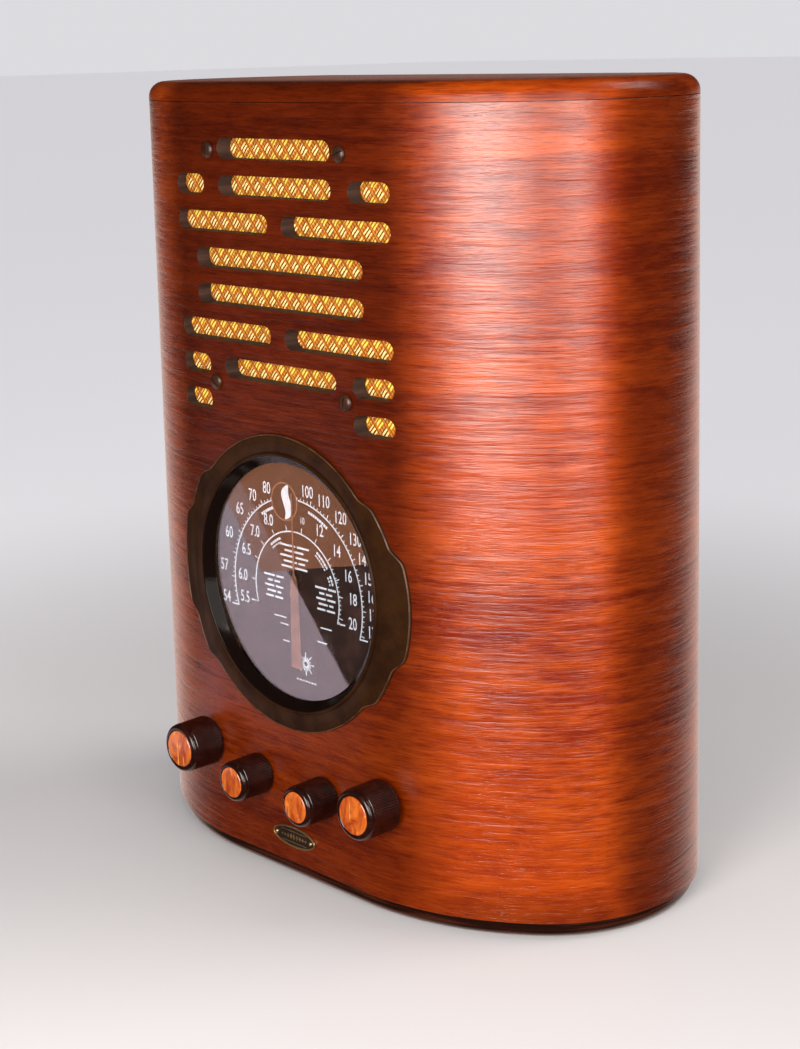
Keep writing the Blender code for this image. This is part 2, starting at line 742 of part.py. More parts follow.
def add_gang_frame(materials):
    """An open box with a wide face plate, on a folded bracket that stands on the chassis."""
    front, back = depth(GANG_FRONT), depth(GANG_BACK)
    under_top = GANG_LOW - GAP
    beyond = GANG_HALF
    riser = box((-GANG_HALF, front + 2 * GANG_SHEET, FLOOR), (GANG_HALF, back, under_top))
    bracket = place("gang_bracket", riser, materials["tin"])
    arch_low = (-GANG_HALF + GANG_SHEET, front - beyond, FLOOR - beyond)
    boolean(bracket, box(arch_low, (GANG_HALF - GANG_SHEET, back + beyond, under_top - GANG_SHEET)))

    body = box((-GANG_HALF, front, GANG_LOW), (GANG_HALF, back, GANG_HIGH))
    frame = place("gang_frame", body, materials["tin"])
    inside_low = (-2 * GANG_HALF, front + GANG_SHEET, GANG_LOW + GANG_SHEET)
    boolean(frame, box(inside_low, (2 * GANG_HALF, back - GANG_SHEET, GANG_HIGH + beyond)))
    face = rectangle(-FACE_HALF, FACE_HALF, FACE_LOW, FACE_HIGH)
    boolean(frame, prism(face, front, front + GANG_SHEET, "Y"), "UNION")
    through = 2 * (GANG_BACK - GANG_FRONT)
    boolean(frame, rod(SHAFT_RADIUS + GAP, -through, through), location=(0, front, PIVOT_Z))


def add_tuning_gang(materials):
    """The rotor's half-round plates turn between the stator's plates, which stand half meshed."""
    front = depth(GANG_FRONT)
    turn = pivot("gang_pivot", (0, front, PIVOT_Z))
    shaft_start = GANG_FRONT - GANG_BACK - FLANGE
    shaft_end = GANG_FRONT - DRUM_DEPTH + FLANGE_HALF
    shaft = rod(SHAFT_RADIUS, shaft_start, shaft_end)
    rotor = place("gang_rotor", shaft, materials["aluminium"], turn.location, turn)
    vanes = bmesh.new()
    plates = bmesh.new()
    half_disc = arc((0, PIVOT_Z), VANE_RADIUS, math.pi / 2, 3 * math.pi / 2, 9)
    hub = arc((0, PIVOT_Z), HUB_RADIUS, -math.pi / 2, math.pi / 2, 5)[1:-1]
    cup = arc((0, PIVOT_Z), CUP_RADIUS, 0, -math.pi, 6)
    low, high = PIVOT_Z - STATOR_HALF, PIVOT_Z + STATOR_HALF
    stator_outline = [(0, low)] + cup + [(0, high), (-STATOR_SIDE, high), (-STATOR_SIDE, low)]
    first = front + VANE_START
    for k in range(VANE_COUNT):
        vane = first + k * VANE_PITCH
        plate = vane + VANE_PITCH / 2
        add_prism(vanes, half_disc + hub, vane, vane + VANE_THICKNESS, "Y")
        add_prism(plates, stator_outline, plate, plate + VANE_THICKNESS, "Y")
    boolean(rotor, vanes, "UNION")
    rail_low = (-RAIL_OUTER, first - FLANGE, PIVOT_Z - RAIL_HALF)
    rail_high = (-STATOR_HALF, first + VANE_COUNT * VANE_PITCH, PIVOT_Z + RAIL_HALF)
    stator = place("gang_stator", box(rail_low, rail_high), materials["aluminium"])
    boolean(stator, plates, "UNION")

    edge = DRUM_RADIUS + FLANGE
    bore = SHAFT_RADIUS + GAP
    profile = [(bore, -FLANGE_HALF), (edge, -FLANGE_HALF), (edge, 0.001 - FLANGE_HALF), (DRUM_RADIUS, -GROOVE_HALF)]
    profile += [(DRUM_RADIUS, GROOVE_HALF), (edge, FLANGE_HALF - 0.001), (edge, FLANGE_HALF), (bore, FLANGE_HALF)]
    drum = turned(profile, DRUM_STEPS)
    place("drive_drum", drum, materials["brass"], (0, depth(DRUM_DEPTH), PIVOT_Z), turn)


def belt_loop(extra):
    """The belt's path round the drum and the pulley, at a distance outside their grooves."""
    drum = Vector((0, PIVOT_Z))
    pulley = Vector((OUTER_KNOB["x"], OUTER_KNOB["z"]))
    big, small = DRUM_RADIUS + extra, PULLEY_RADIUS + extra
    run = pulley - drum
    heading = math.atan2(run.x, -run.y)
    lean = math.asin((big - small) / run.length)
    start = heading + math.pi / 2 - lean
    end = heading + 3 * math.pi / 2 + lean
    around_drum = arc(drum, big, start, end, 18)
    around_pulley = arc(pulley, small, end - 2 * math.pi, start, 10)
    return around_drum + around_pulley


def add_belt(materials):
    y = depth(DRUM_DEPTH)
    band = prism(belt_loop(GAP + BELT_THICKNESS), y - BELT_HALF, y + BELT_HALF, "Y")
    belt = place("drive_belt", band, materials["rubber"])
    boolean(belt, prism(belt_loop(GAP), y - 2 * BELT_HALF, y + 2 * BELT_HALF, "Y"))


def add_speaker(materials):
    centre = (0, depth(SPEAKER_FRONT), SPEAKER_Z)
    basket = place("speaker_frame", turned(SPEAKER_BASKET, SPEAKER_STEPS), materials["painted_steel"], centre)
    inner, outer = SPEAKER_WINDOW
    windows = bmesh.new()
    for k in range(4):
        angle = math.pi / 4 + k * math.pi / 2
        start, end = angle - WINDOW_SPREAD, angle + WINDOW_SPREAD
        window = arc((0, SPEAKER_Z), outer, start, end, 6) + arc((0, SPEAKER_Z), inner, end, start, 6)
        add_prism(windows, window, depth(SPEAKER_FRONT + WINDOW_FRONT), depth(SPEAKER_FRONT + WINDOW_BACK), "Y")
    boolean(basket, windows)
    place("speaker_cone", turned(SPEAKER_CONE, SPEAKER_STEPS), materials["paper"], centre)
    place("speaker_magnet", turned(SPEAKER_MAGNET, MAGNET_STEPS), materials["iron"], centre)


def main():
    clear_scene()
    materials = {
        "wood": finish("veneer", (0.21, 0.055, 0.018), 0.22),
        "dark_wood": finish("dark base", (0.035, 0.014, 0.008), 0.3),
        "board": finish("baffle board", (0.35, 0.22, 0.12), 0.8),
        "cloth": finish("grille cloth", (0.60, 0.33, 0.06), 0.8),
        "bronze": finish("dark bronze", (0.060, 0.040, 0.022), 0.4, 0.6),
        "glass": finish("dial glass", (0.9, 0.93, 0.95), 0.03, 0.0, 0.2),
        "valve_glass": finish("valve glass", (0.85, 0.88, 0.9), 0.05, 0.0, 0.35),
        "dial": finish("dial face", (0.035, 0.022, 0.020), 0.35),
        "copper": finish("pointer", (0.42, 0.20, 0.12), 0.35, 0.7),
        "brass": finish("brass", (0.55, 0.38, 0.16), 0.35, 1.0),
        "knob": finish("knob", (0.030, 0.012, 0.009), 0.25),
        "amber": finish("amber insert", (0.62, 0.17, 0.03), 0.3),
        "steel": finish("steel", (0.55, 0.55, 0.56), 0.35, 1.0),
        "tin": finish("plated steel", (0.50, 0.50, 0.48), 0.45, 1.0),
        "iron": finish("laminations", (0.12, 0.12, 0.13), 0.6, 0.6),
        "painted_steel": finish("painted steel", (0.025, 0.025, 0.028), 0.5),
        "aluminium": finish("aluminium", (0.75, 0.75, 0.76), 0.35, 1.0),
        "bakelite": finish("valve base", (0.04, 0.022, 0.016), 0.35),
        "rubber": finish("rubber", (0.03, 0.03, 0.03), 0.8),
        "paper": finish("cone paper", (0.16, 0.14, 0.12), 0.9),
    }
    add_case(materials)
    add_grille(materials)
    add_escutcheon(materials)
    add_dial(materials)
    add_nameplate(materials)
    add_controls(materials)
    add_pan(materials)
    add_chassis_pieces(materials)
    add_gang_frame(materials)
    add_tuning_gang(materials)
    add_belt(materials)
    add_speaker(materials)


main()
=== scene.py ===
"""Looks for a tombstone table radio with a bent, veneered case. Metres, +Z up, the front faces -Y."""

from math import acos, atan2, cos, degrees, pi, radians, sin, sqrt, tau

import bmesh
import bpy
from mathutils import Matrix, Vector


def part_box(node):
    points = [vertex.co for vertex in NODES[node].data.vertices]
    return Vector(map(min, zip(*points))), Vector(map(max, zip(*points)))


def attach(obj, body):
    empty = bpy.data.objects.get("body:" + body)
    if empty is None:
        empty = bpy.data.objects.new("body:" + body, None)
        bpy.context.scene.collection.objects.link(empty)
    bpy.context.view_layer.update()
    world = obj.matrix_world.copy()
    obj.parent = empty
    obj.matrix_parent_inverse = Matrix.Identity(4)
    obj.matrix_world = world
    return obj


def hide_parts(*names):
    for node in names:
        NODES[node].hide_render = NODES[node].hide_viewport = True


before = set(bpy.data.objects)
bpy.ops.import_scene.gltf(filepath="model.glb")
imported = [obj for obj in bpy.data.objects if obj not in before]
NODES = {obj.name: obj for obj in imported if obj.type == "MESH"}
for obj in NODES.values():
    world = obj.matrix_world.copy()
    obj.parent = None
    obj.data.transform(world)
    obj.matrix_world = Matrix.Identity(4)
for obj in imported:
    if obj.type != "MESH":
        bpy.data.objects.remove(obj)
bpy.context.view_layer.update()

# Case
CASE_DEPTH = 0.156
FRONT_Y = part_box("cabinet_shell")[0].y
FLAT_HALF = 0.0476
EASE_RADIUS = 0.1373
EASE_ANGLE = radians(39.8)
END_RADIUS = 0.0757
LEAN = EASE_RADIUS - END_RADIUS
END_CENTRE = (FLAT_HALF + LEAN * sin(EASE_ANGLE), EASE_RADIUS - LEAN * cos(EASE_ANGLE))
WALL = 0.0085
BASE_HEIGHT = 0.0078
BODY_TOP = 0.386
TOP_HEIGHT = 0.395
GAP = 0.0003

# Grille: rows of slots with round ends
SLOT_HEIGHT = 0.010
ROW_TOP = 0.3638
ROW_PITCH = 0.0179
SCREW_HOLE = 0.0019
SHAFT_HOLE = 0.0045
SCREWS = [(side * 0.0475, z) for z in (0.363, 0.2483) for side in (-1, 1)]

# Grille cloth: the size of its lozenges
CELL_WIDE = 0.0086
CELL_TALL = 0.0092

# Dial
DIAL_Z = 0.153
DIAL_HOLE = 0.0652
DIAL_OPENING = 0.0635
PIVOT_Z = 0.1467
RIM_RADIUS = 0.0743
LOBE_RADIUS = 0.0784
EAR_RADIUS = 0.0832
GLASS_DEPTH = 0.0036
GLASS_WALL = 0.0007
GLASS_RADIUS = 0.0629
SCALE_DEPTH = 0.0076
SCALE_END = 107
PLATE_LAND = 0.0684

# Controls: side, height, knob radius, insert radius
KNOBS = {
    "volume": (-0.0658, 0.0573, 0.0127, 0.0093),
    "tone": (-0.0243, 0.0500, 0.0104, 0.0077),
    "band": (0.0243, 0.0500, 0.0104, 0.0077),
    "tuning": (0.0658, 0.0573, 0.0127, 0.0093),
}
KNOB_REACH = 0.0203
BADGE_Z = 0.022

# Speaker, windows and floor
SPEAKER_Z = 0.301
WINDOW_PLACE = (0.95, 0.45)
WINDOW_HEIGHT = 0.66
FLOOR_HALF = 30

EYE = (0.71136, -0.66879, 0.41160)
LOOKS = {}

# Colour, tarnish, roughness, metallic, then the pattern's scale, its relief and the wear
METALS = {
    "bronze": ((0.046, 0.016, 0.007), (0.020, 0.0060, 0.003), 0.27, 0.2, 70),
    "rim": ((0.090, 0.036, 0.013), (0.020, 0.007, 0.003), 0.40, 0.2, 120),
    "copper": ((0.22, 0.092, 0.052), (0.12, 0.045, 0.025), 0.36, 0.5, 200),
    "brass": ((0.62, 0.42, 0.20), (0.30, 0.18, 0.07), 0.35, 0.9, 150),
    "badge_field": ((0.030, 0.014, 0.008), (0.015, 0.007, 0.004), 0.4, 0.3, 300),
    "steel": ((0.55, 0.55, 0.56), (0.36, 0.35, 0.34), 0.32, 1.0, 120),
    "tin": ((0.42, 0.41, 0.38), (0.22, 0.20, 0.17), 0.42, 0.9, 30, 0.0001),
    "aluminium": ((0.66, 0.66, 0.66), (0.42, 0.42, 0.41), 0.38, 1.0, 40),
    "black_paint": ((0.020, 0.020, 0.021), (0.035, 0.032, 0.028), 0.42, 0.1, 80, 0.0001, 0.15),
    "iron": ((0.055, 0.052, 0.050), (0.10, 0.055, 0.032), 0.5, 0.6, 60, 0.0001),
    "anode": ((0.045, 0.044, 0.044), (0.09, 0.088, 0.085), 0.6, 0.5, 200, 0.00005),
}


def show(thing):
    bpy.context.scene.collection.objects.link(thing)


# ---------------------------------------------------------------- materials


class Look:
    """A Principled material. Its patterns are nodes in object space, which is the row frame in metres."""

    def __init__(self, name, color, roughness, **values):
        self.material = bpy.data.materials.new(name)
        self.material.use_nodes = True
        self.tree = self.material.node_tree
        self.shader = self.tree.nodes["Principled BSDF"]
        self.shader.inputs["Base Color"].default_value = (*color, 1)
        self.shader.inputs["Roughness"].default_value = roughness
        for key, value in values.items():
            self.shader.inputs[key.replace("_", " ")].default_value = value
        self.place = self.node("TexCoord").outputs["Object"]

    def node(self, kind, **values):
        node = self.tree.nodes.new("ShaderNode" + kind)
        for key, value in values.items():
            self.wire(value, node.inputs[key])
        return node

    def wire(self, source, socket):
        if isinstance(source, bpy.types.NodeSocket):
            self.tree.links.new(source, socket)
        else:
            socket.default_value = source

    def maths(self, operation, *values, clamp=False):
        node = self.node("Math")
        node.operation = operation
        node.use_clamp = clamp
        for value, socket in zip(values, node.inputs):
            self.wire(value, socket)
        return node.outputs[0]

    def line(self, value, gain, base, clamp=False):
        """value * gain + base"""
        return self.maths("MULTIPLY_ADD", value, gain, base, clamp=clamp)

    def times(self, first, second):
        return self.maths("MULTIPLY", first, second)

    def stretched(self, scale, turn):
        return self.node("Mapping", Vector=self.place, Scale=scale, Rotation=turn).outputs[0]

    def axis(self, name):
        return self.node("SeparateXYZ", Vector=self.place).outputs[name]

    def noise(self, scale, detail=4, roughness=0.55, distortion=0.0, turn=(0, 0, 0)):
        scales = scale if isinstance(scale, tuple) else (scale,) * 3
        place = self.stretched(scales, turn)
        node = self.node("TexNoise", Vector=place, Scale=1, Detail=detail, Roughness=roughness, Distortion=distortion)
        return node.outputs[0]

    def step(self, value, low, high, to_low=0.0, to_high=1.0):
        """Smooth change from one value to another."""
        node = self.node("MapRange")
        node.interpolation_type = "SMOOTHSTEP"
        for source, socket in zip((value, low, high, to_low, to_high), node.inputs):
            self.wire(source, socket)
        return node.outputs[0]

    def mix(self, share, first, second, blend="MIX"):
        node = self.node("Mix")
        node.data_type = "RGBA"
        node.blend_type = blend
        self.wire(share, node.inputs[0])
        for source, socket in ((first, node.inputs[6]), (second, node.inputs[7])):
            if isinstance(source, tuple) and len(source) == 3:
                source = (*source, 1)
            self.wire(source, socket)
        return node.outputs[2]

    def color(self, source):
        self.wire(source, self.shader.inputs["Base Color"])

    def rough(self, source, *line):
        """Sets the roughness, or a line (gain, base) of the source."""
        self.wire(self.line(source, *line) if line else source, self.shader.inputs["Roughness"])

    def bump(self, height, distance, coat=False):
        """Adds a relief of this many metres, on top of any before it."""
        node = self.node("Bump", Distance=distance, Height=height)
        normal = self.shader.inputs["Normal"]
        if normal.links:
            self.wire(normal.links[0].from_socket, node.inputs["Normal"])
        self.wire(node.outputs[0], normal)
        if coat:
            self.wire(node.outputs[0], self.shader.inputs["Coat Normal"])


def veneer_look(name, toned=0.0, gloss=1.0):
    """Red-brown veneer with level grain under gloss lacquer. The front carries a darker toner. The body is also darker
    near its top and bottom, and painted shade darkens the sides towards the back.
    """
    look = Look(name, (0.3, 0.05, 0.01), 0.35, Coat_Weight=gloss, Coat_Roughness=0.075, Specular_IOR_Level=0.12)
    fine = look.noise((110, 110, 1500), 4, 0.65)
    streak = look.noise((26, 26, 420), 5, 0.65, 0.25)
    ripple = look.noise((60, 60, 170), 3, 0.5, 0.5)
    band = look.noise((3.0, 3.0, 46), 4, 0.55, 0.35)
    cloud = look.noise((8, 8, 11), 3, 0.5)
    grain = look.line(streak, 0.40, look.times(fine, 0.34))
    grain = look.line(ripple, 0.26, grain)
    tone = look.line(band, 0.30, look.times(grain, 0.70))
    bare = look.mix(look.step(tone, 0.38, 0.62), (0.130, 0.0070, 0.0003), (0.365, 0.050, 0.0010))
    bare = look.mix(look.step(cloud, 0.42, 0.70, 0.0, 0.35), bare, (0.30, 0.027, 0.0006))
    pores = look.noise((60, 60, 1900), 2, 0.5)
    bare = look.mix(look.step(pores, 0.60, 0.72, 0.0, 0.5), bare, (0.045, 0.003, 0.0003))
    dark = look.mix(look.step(tone, 0.36, 0.64), (0.029, 0.0022, 0.0002), (0.082, 0.0082, 0.0002))
    side = look.maths("ABSOLUTE", look.axis("X"))
    depth = look.maths("SUBTRACT", look.axis("Y"), FRONT_Y)
    high = look.axis("Z")
    front = look.step(side, 0.070, 0.112, 1.0, 0.0)
    front = look.times(front, look.step(depth, 0.02, 0.05, 1.0, 0.0))
    front = look.times(front, look.step(high, 0.06, 0.15, 0.72, 1.0))
    upper = look.step(high, 0.374, 0.386, 0.0, 0.30)
    lower = look.step(high, 0.008, 0.030, 0.50, 0.0)
    # Painted shade: the sides turn darker towards the back of the case.
    back = look.step(side, 0.153, 0.1620, 0.0, 0.80)
    share = look.maths("MAXIMUM", front, look.maths("MAXIMUM", upper, look.maths("MAXIMUM", lower, back)))
    share = look.maths("MAXIMUM", share, toned)
    ragged = look.line(look.maths("SUBTRACT", cloud, 0.5), 0.35, share, clamp=True)
    look.color(look.mix(look.times(ragged, look.step(share, 0.0, 0.12)), bare, dark))
    look.wire(look.line(front, -0.62 * gloss, gloss), look.shader.inputs["Coat Weight"])
    look.rough(fine, 0.20, 0.19)
    look.bump(fine, 0.00016)
    look.bump(streak, 0.00030)
    look.bump(look.noise((14, 14, 210), 3, 0.5, 0.3), 0.00034, coat=True)
    return look.material


def mottled_look(name, noise, edges, low, high, rough, relief, coat=False, **values):
    """One noise sets the colour between two tones, the roughness (gain, base) and the relief."""
    look = Look(name, low, 0.5, **values)
    cloud = look.noise(*noise)
    look.color(look.mix(look.step(cloud, *edges), low, high))
    look.rough(cloud, *rough)
    look.bump(cloud, relief, coat=coat)
    return look.material


def print_look(name, color, worn):
    """Printed marks, a little worn."""
    return mottled_look(name, (900, 3, 0.6), (0.50, 0.85), color, worn, (0.3, 0.4), 0.00001)


def raw_wood_look(name, light, dark):
    """Unlacquered board or ply, inside and at the back."""
    look = Look(name, light, 0.75)
    grain = look.noise((14, 14, 380), 5, 0.6, 0.4)
    stain = look.noise(18, 3, 0.5)
    color = look.mix(look.step(grain, 0.38, 0.64), dark, light)
    look.color(look.mix(look.step(stain, 0.45, 0.75, 0.0, 0.4), color, dark))
    look.rough(grain, 0.25, 0.6)
    look.bump(grain, 0.0002)
    return look.material


def cloth_look():
    """Gold brocade: lozenges of slanted bright dashes, parted by orange threads that cross."""
    look = Look("grille_cloth", (0.8, 0.4, 0.06), 0.55, Sheen_Weight=0.05, Sheen_Roughness=0.4, Specular_IOR_Level=0.12)
    x, z = look.axis("X"), look.axis("Z")
    wobble = look.maths("SUBTRACT", look.noise(300, 2, 0.5), 0.5)

    def wave(kind, along_x, along_z, wander):
        phase = look.line(x, tau * along_x, look.times(z, tau * along_z))
        return look.maths(kind, look.line(wobble, wander, phase))

    wide, tall = 0.5 / CELL_WIDE, 0.5 / CELL_TALL
    parity = look.times(wave("COSINE", wide, tall, 0.5), wave("COSINE", wide, -tall, 0.5))
    rising = look.step(look.maths("ABSOLUTE", wave("SINE", wide, tall, 0.5)), 0.80, 0.95)
    falling = look.step(look.maths("ABSOLUTE", wave("SINE", wide, -tall, 0.5)), 0.80, 0.95)
    dash = wave("SINE", 403, -338, 3.0)
    lit = look.step(dash, -0.65, 0.15)
    full = look.mix(lit, (0.34, 0.130, 0.007), (0.94, 0.63, 0.10))
    open_cell = look.mix(lit, (0.11, 0.030, 0.002), (0.95, 0.64, 0.23))
    color = look.mix(look.step(parity, -0.15, 0.15), open_cell, full)
    border = look.maths("MAXIMUM", rising, falling)
    color = look.mix(look.times(border, 0.85), color, (0.50, 0.120, 0.006))
    gap = look.times(border, look.step(wave("SINE", 403, 338, 2.0), 0.1, 0.8))
    look.color(look.mix(look.times(gap, 0.75), color, (0.10, 0.030, 0.003)))
    look.rough(look.step(lit, 0, 1, 0.75, 0.42))
    height = look.line(lit, 0.5, look.times(border, -0.5))
    look.bump(height, 0.0004)
    return look.material


def worn_metal_look(name, color, dark, roughness, metallic, scale=60.0, relief=0.00004, wear=0.35):
    """Metal or paint with cloudy tarnish, fine scratches and uneven gloss."""
    look = Look(name, color, roughness, Metallic=metallic)
    cloud = look.noise(scale, 5, 0.6)
    scratch = look.noise((scale * 30, scale * 3, scale * 2), 3, 0.6, turn=(0.4, 0.3, 0.7))
    base = look.mix(look.step(cloud, 0.35, 0.7, 0.0, 1.0), color, dark)
    look.color(look.mix(look.step(scratch, 0.62, 0.8, 0.0, wear), base, tuple(min(1.0, c * 1.8) for c in color)))
    look.rough(cloud, 0.3, roughness - 0.12)
    look.bump(cloud, relief)
    look.bump(scratch, relief / 3)
    return look.material


def surround_look():
    """Dark bronze paint, with painted shade that turns it black down the well of the dial."""
    look = Look("surround", (0.035, 0.013, 0.004), 0.42, Specular_IOR_Level=0.11)
    cloud = look.noise(70, 5, 0.6)
    speck = look.noise(600, 3, 0.6)
    tone = look.mix(look.step(cloud, 0.35, 0.7), (0.023, 0.0078, 0.0018), (0.012, 0.0036, 0.0009))
    tone = look.mix(look.step(speck, 0.6, 0.75, 0.0, 0.4), tone, (0.042, 0.017, 0.005))
    rise = look.maths("SUBTRACT", look.axis("Z"), DIAL_Z)
    side = look.maths("ABSOLUTE", look.axis("X"))
    reach = look.maths("SQRT", look.line(rise, rise, look.maths("POWER", side, 2.0)))
    lip = (DIAL_OPENING - 0.0003, DIAL_OPENING + 0.0009)
    # Painted shade: the paint turns black inside the opening, down the well.
    look.color(look.mix(look.step(reach, *lip), (0.004, 0.002, 0.0015), tone))
    matt = look.step(reach, *lip, 0.3, 1.0)
    look.rough(look.times(look.line(cloud, 0.3, 0.20), matt))
    look.bump(cloud, 0.00008)
    look.bump(speck, 0.00002)
    return look.material


def lamination_look():
    """A stack of iron sheets, rusty in places."""
    look = Look("laminations", (0.10, 0.10, 0.11), 0.5, Metallic=0.7)
    lines = look.maths("SINE", look.times(look.axis("Z"), 2 * pi / 0.0012))
    rust = look.noise(90, 4, 0.6)
    base = look.mix(look.step(lines, -0.6, 0.4), (0.018, 0.018, 0.020), (0.16, 0.155, 0.15))
    look.color(look.mix(look.step(rust, 0.5, 0.75, 0.0, 0.6), base, (0.13, 0.045, 0.018)))
    look.rough(rust, 0.4, 0.3)
    look.bump(lines, 0.0002)
    return look.material


def moulded_look(name, color, roughness, coat=0.3):
    """Dark moulded resin with a faint swirl and handling marks."""
    look = Look(name, color, roughness, Coat_Weight=coat, Coat_Roughness=0.08, Specular_IOR_Level=0.3)
    swirl = look.noise(140, 4, 0.6, 1.2)
    look.color(look.mix(look.step(swirl, 0.4, 0.7), color, tuple(c * 2.2 for c in color)))
    look.rough(look.noise(420, 3), 0.22, roughness - 0.1)
    look.bump(look.noise(500, 3), 0.00003, coat=True)
    return look.material


def amber_look():
    """Marbled amber resin with yellow streaks."""
    look = Look("amber_insert", (0.75, 0.2, 0.03), 0.28, Coat_Weight=0.5, Coat_Roughness=0.12)
    look.shader.inputs["Subsurface Weight"].default_value = 0.08
    look.shader.inputs["Subsurface Radius"].default_value = (0.004, 0.0015, 0.0005)
    swirl = look.noise((150, 40, 60), 5, 0.6, 1.6, turn=(0, 0.5, 0))
    streak = look.noise((330, 60, 75), 3, 0.5, 0.8, turn=(0, 0.35, 0))
    base = look.mix(look.step(swirl, 0.36, 0.66), (0.26, 0.030, 0.003), (0.52, 0.115, 0.009))
    look.color(look.mix(look.step(streak, 0.60, 0.74, 0.0, 0.85), base, (0.85, 0.38, 0.07)))
    look.rough(swirl, 0.2, 0.2)
    look.bump(look.noise(400, 3), 0.00003, coat=True)
    return look.material


def glass_look(name, tint, dirt, index=1.5):
    look = Look(name, tint, 0.02, Transmission_Weight=1.0, IOR=index)
    haze = look.noise(70, 4, 0.6)
    look.rough(look.step(haze, 0.45, 0.85, 0.0, dirt))
    look.bump(look.noise(25, 2), 0.00002)
    return look.material


def bulb_look():
    """Clear, lightly smoked glass with a silvered cap."""
    look = Look("valve_glass", (0.95, 0.96, 0.95), 0.03, Transmission_Weight=1.0, IOR=1.45)
    smoke = look.noise(60, 4, 0.6)
    edge = look.maths("ADD", look.axis("Z"), look.times(smoke, 0.012))
    silver = look.step(edge, 0.150, 0.158)
    clear = look.mix(look.step(smoke, 0.4, 0.8), (0.96, 0.97, 0.96), (0.80, 0.83, 0.83))
    look.color(look.mix(silver, clear, (0.50, 0.46, 0.42)))
    look.wire(look.times(silver, 0.9), look.shader.inputs["Metallic"])
    look.rough(smoke, 0.08, 0.01)
    look.bump(smoke, 0.00004)
    return look.material


# ---------------------------------------------------------------- mesh tools


def arc(centre, radius, start, end, steps):
    """Points on an arc, with angles from the front (-Y, or -Z on an upright outline) towards +X."""
    points = []
    for k in range(steps + 1):
        angle = start + (end - start) * k / steps
        points.append((centre[0] + radius * sin(angle), centre[1] - radius * cos(angle)))
    return points


def case_outline(inset, back=CASE_DEPTH):
    """The case's plan moved in by inset, as world (x, y) from its back left corner round the front."""
    radius = END_RADIUS - inset
    last = acos((END_CENTRE[1] - back) / radius)
    half = [(FLAT_HALF * k / 4, inset) for k in range(4)]
    half += arc((FLAT_HALF, EASE_RADIUS), EASE_RADIUS - inset, 0, EASE_ANGLE, 22)
    half += arc(END_CENTRE, radius, EASE_ANGLE, last, 54)[1:]
    left = [(-x, y) for x, y in reversed(half[1:])]
    return [(x, FRONT_Y + y) for x, y in left + half]


def skin(point):
    """(outward normal, distance outside) of the case's outer surface at a point."""
    side = 1 if point.x >= 0 else -1
    x, y = abs(point.x), point.y - FRONT_Y
    if x <= FLAT_HALF:
        return Vector((0, -1, 0)), -y
    away = Vector((x, y)) - Vector(END_CENTRE)
    if atan2(away.x, -away.y) < EASE_ANGLE:
        away = Vector((x, y)) - Vector((FLAT_HALF, EASE_RADIUS))
        return Vector((side * away.x, away.y, 0)).normalized(), away.length - EASE_RADIUS
    return Vector((side * away.x, away.y, 0)).normalized(), away.length - END_RADIUS


def skin_depth(x):
    """Depth of the outer surface behind the front plane, on the front's flat and eased parts."""
    beyond = max(0.0, abs(x) - FLAT_HALF)
    return EASE_RADIUS - sqrt(EASE_RADIUS**2 - beyond**2)


def prism(outline, low, high, along="Z"):
    bm = bmesh.new()
    add_prism(bm, outline, low, high, along)
    return bm


def add_prism(bm, outline, low, high, along="Z"):
    def point(a, b, h):
        return (a, b, h) if along == "Z" else (a, h, b)

    lower = [bm.verts.new(point(a, b, low)) for a, b in outline]
    upper = [bm.verts.new(point(a, b, high)) for a, b in outline]
    faces = [bm.faces.new(lower), bm.faces.new(upper)]
    for k in range(len(outline)):
        nxt = (k + 1) % len(outline)
        faces.append(bm.faces.new((lower[k], lower[nxt], upper[nxt], upper[k])))
    bmesh.ops.recalc_face_normals(bm, faces=faces)


def add_rings(bm, rings, closed=False):
    """Skins a list of rings of points. An open list is capped at both ends."""
    made = [[bm.verts.new(p) for p in ring] for ring in rings]
    count = len(made[0])
    pairs = list(zip(made, made[1:] + made[:1])) if closed else list(zip(made, made[1:]))
    faces = []
    for first, second in pairs:
        for k in range(count):
            nxt = (k + 1) % count
            faces.append(bm.faces.new((first[k], first[nxt], second[nxt], second[k])))
    if not closed:
        faces += [bm.faces.new(made[0]), bm.faces.new(made[-1])]
    bmesh.ops.recalc_face_normals(bm, faces=faces)
    return bm


def ringed(rings, closed=False):
    return add_rings(bmesh.new(), rings, closed)


def turned(profile, centre, segments=64, along="Y", flute=None):
    """Rings of a turned solid: (radius, height) pairs, heights running to the front or up. A zero radius is tiny."""
    rings = []
    for radius, height in profile:
        ring = []
        for k in range(segments):
            angle = 2 * pi * k / segments
            r = max(radius, 0.00002)
            if flute:
                r += flute(radius, height, angle)
            a, b = r * cos(angle), r * sin(angle)
            ring.append(centre + (Vector((a, -height, b)) if along == "Y" else Vector((a, b, height))))
        rings.append(ring)
    return rings


def quarter(steps):
    """Angles of a quarter turn."""
    return [pi / 2 * k / steps for k in range(steps + 1)]


def circle(centre, radius, steps):
    return arc(centre, radius, 0, 2 * pi, steps)[:-1]


def slot(low_x, high_x, z, steps=14):
    radius = SLOT_HEIGHT / 2
    right = arc((high_x - radius, z), radius, 0, pi, steps)
    return right + arc((low_x + radius, z), radius, pi, 2 * pi, steps)


def place(name, bm, look, replaces=(), slot_name=None, sharp=35, body="cabinet"):
    """Turns a mesh into a named piece that rides on a body."""
    mesh = bpy.data.meshes.new(name)
    bm.to_mesh(mesh)
    bm.free()
    mesh.shade_smooth()
    mesh.set_sharp_from_angle(angle=radians(sharp))
    mesh.materials.append(LOOKS[look])
    piece = bpy.data.objects.new(name, mesh)
    show(piece)
    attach(piece, body)
    if replaces:
        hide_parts(*replaces)
    return piece


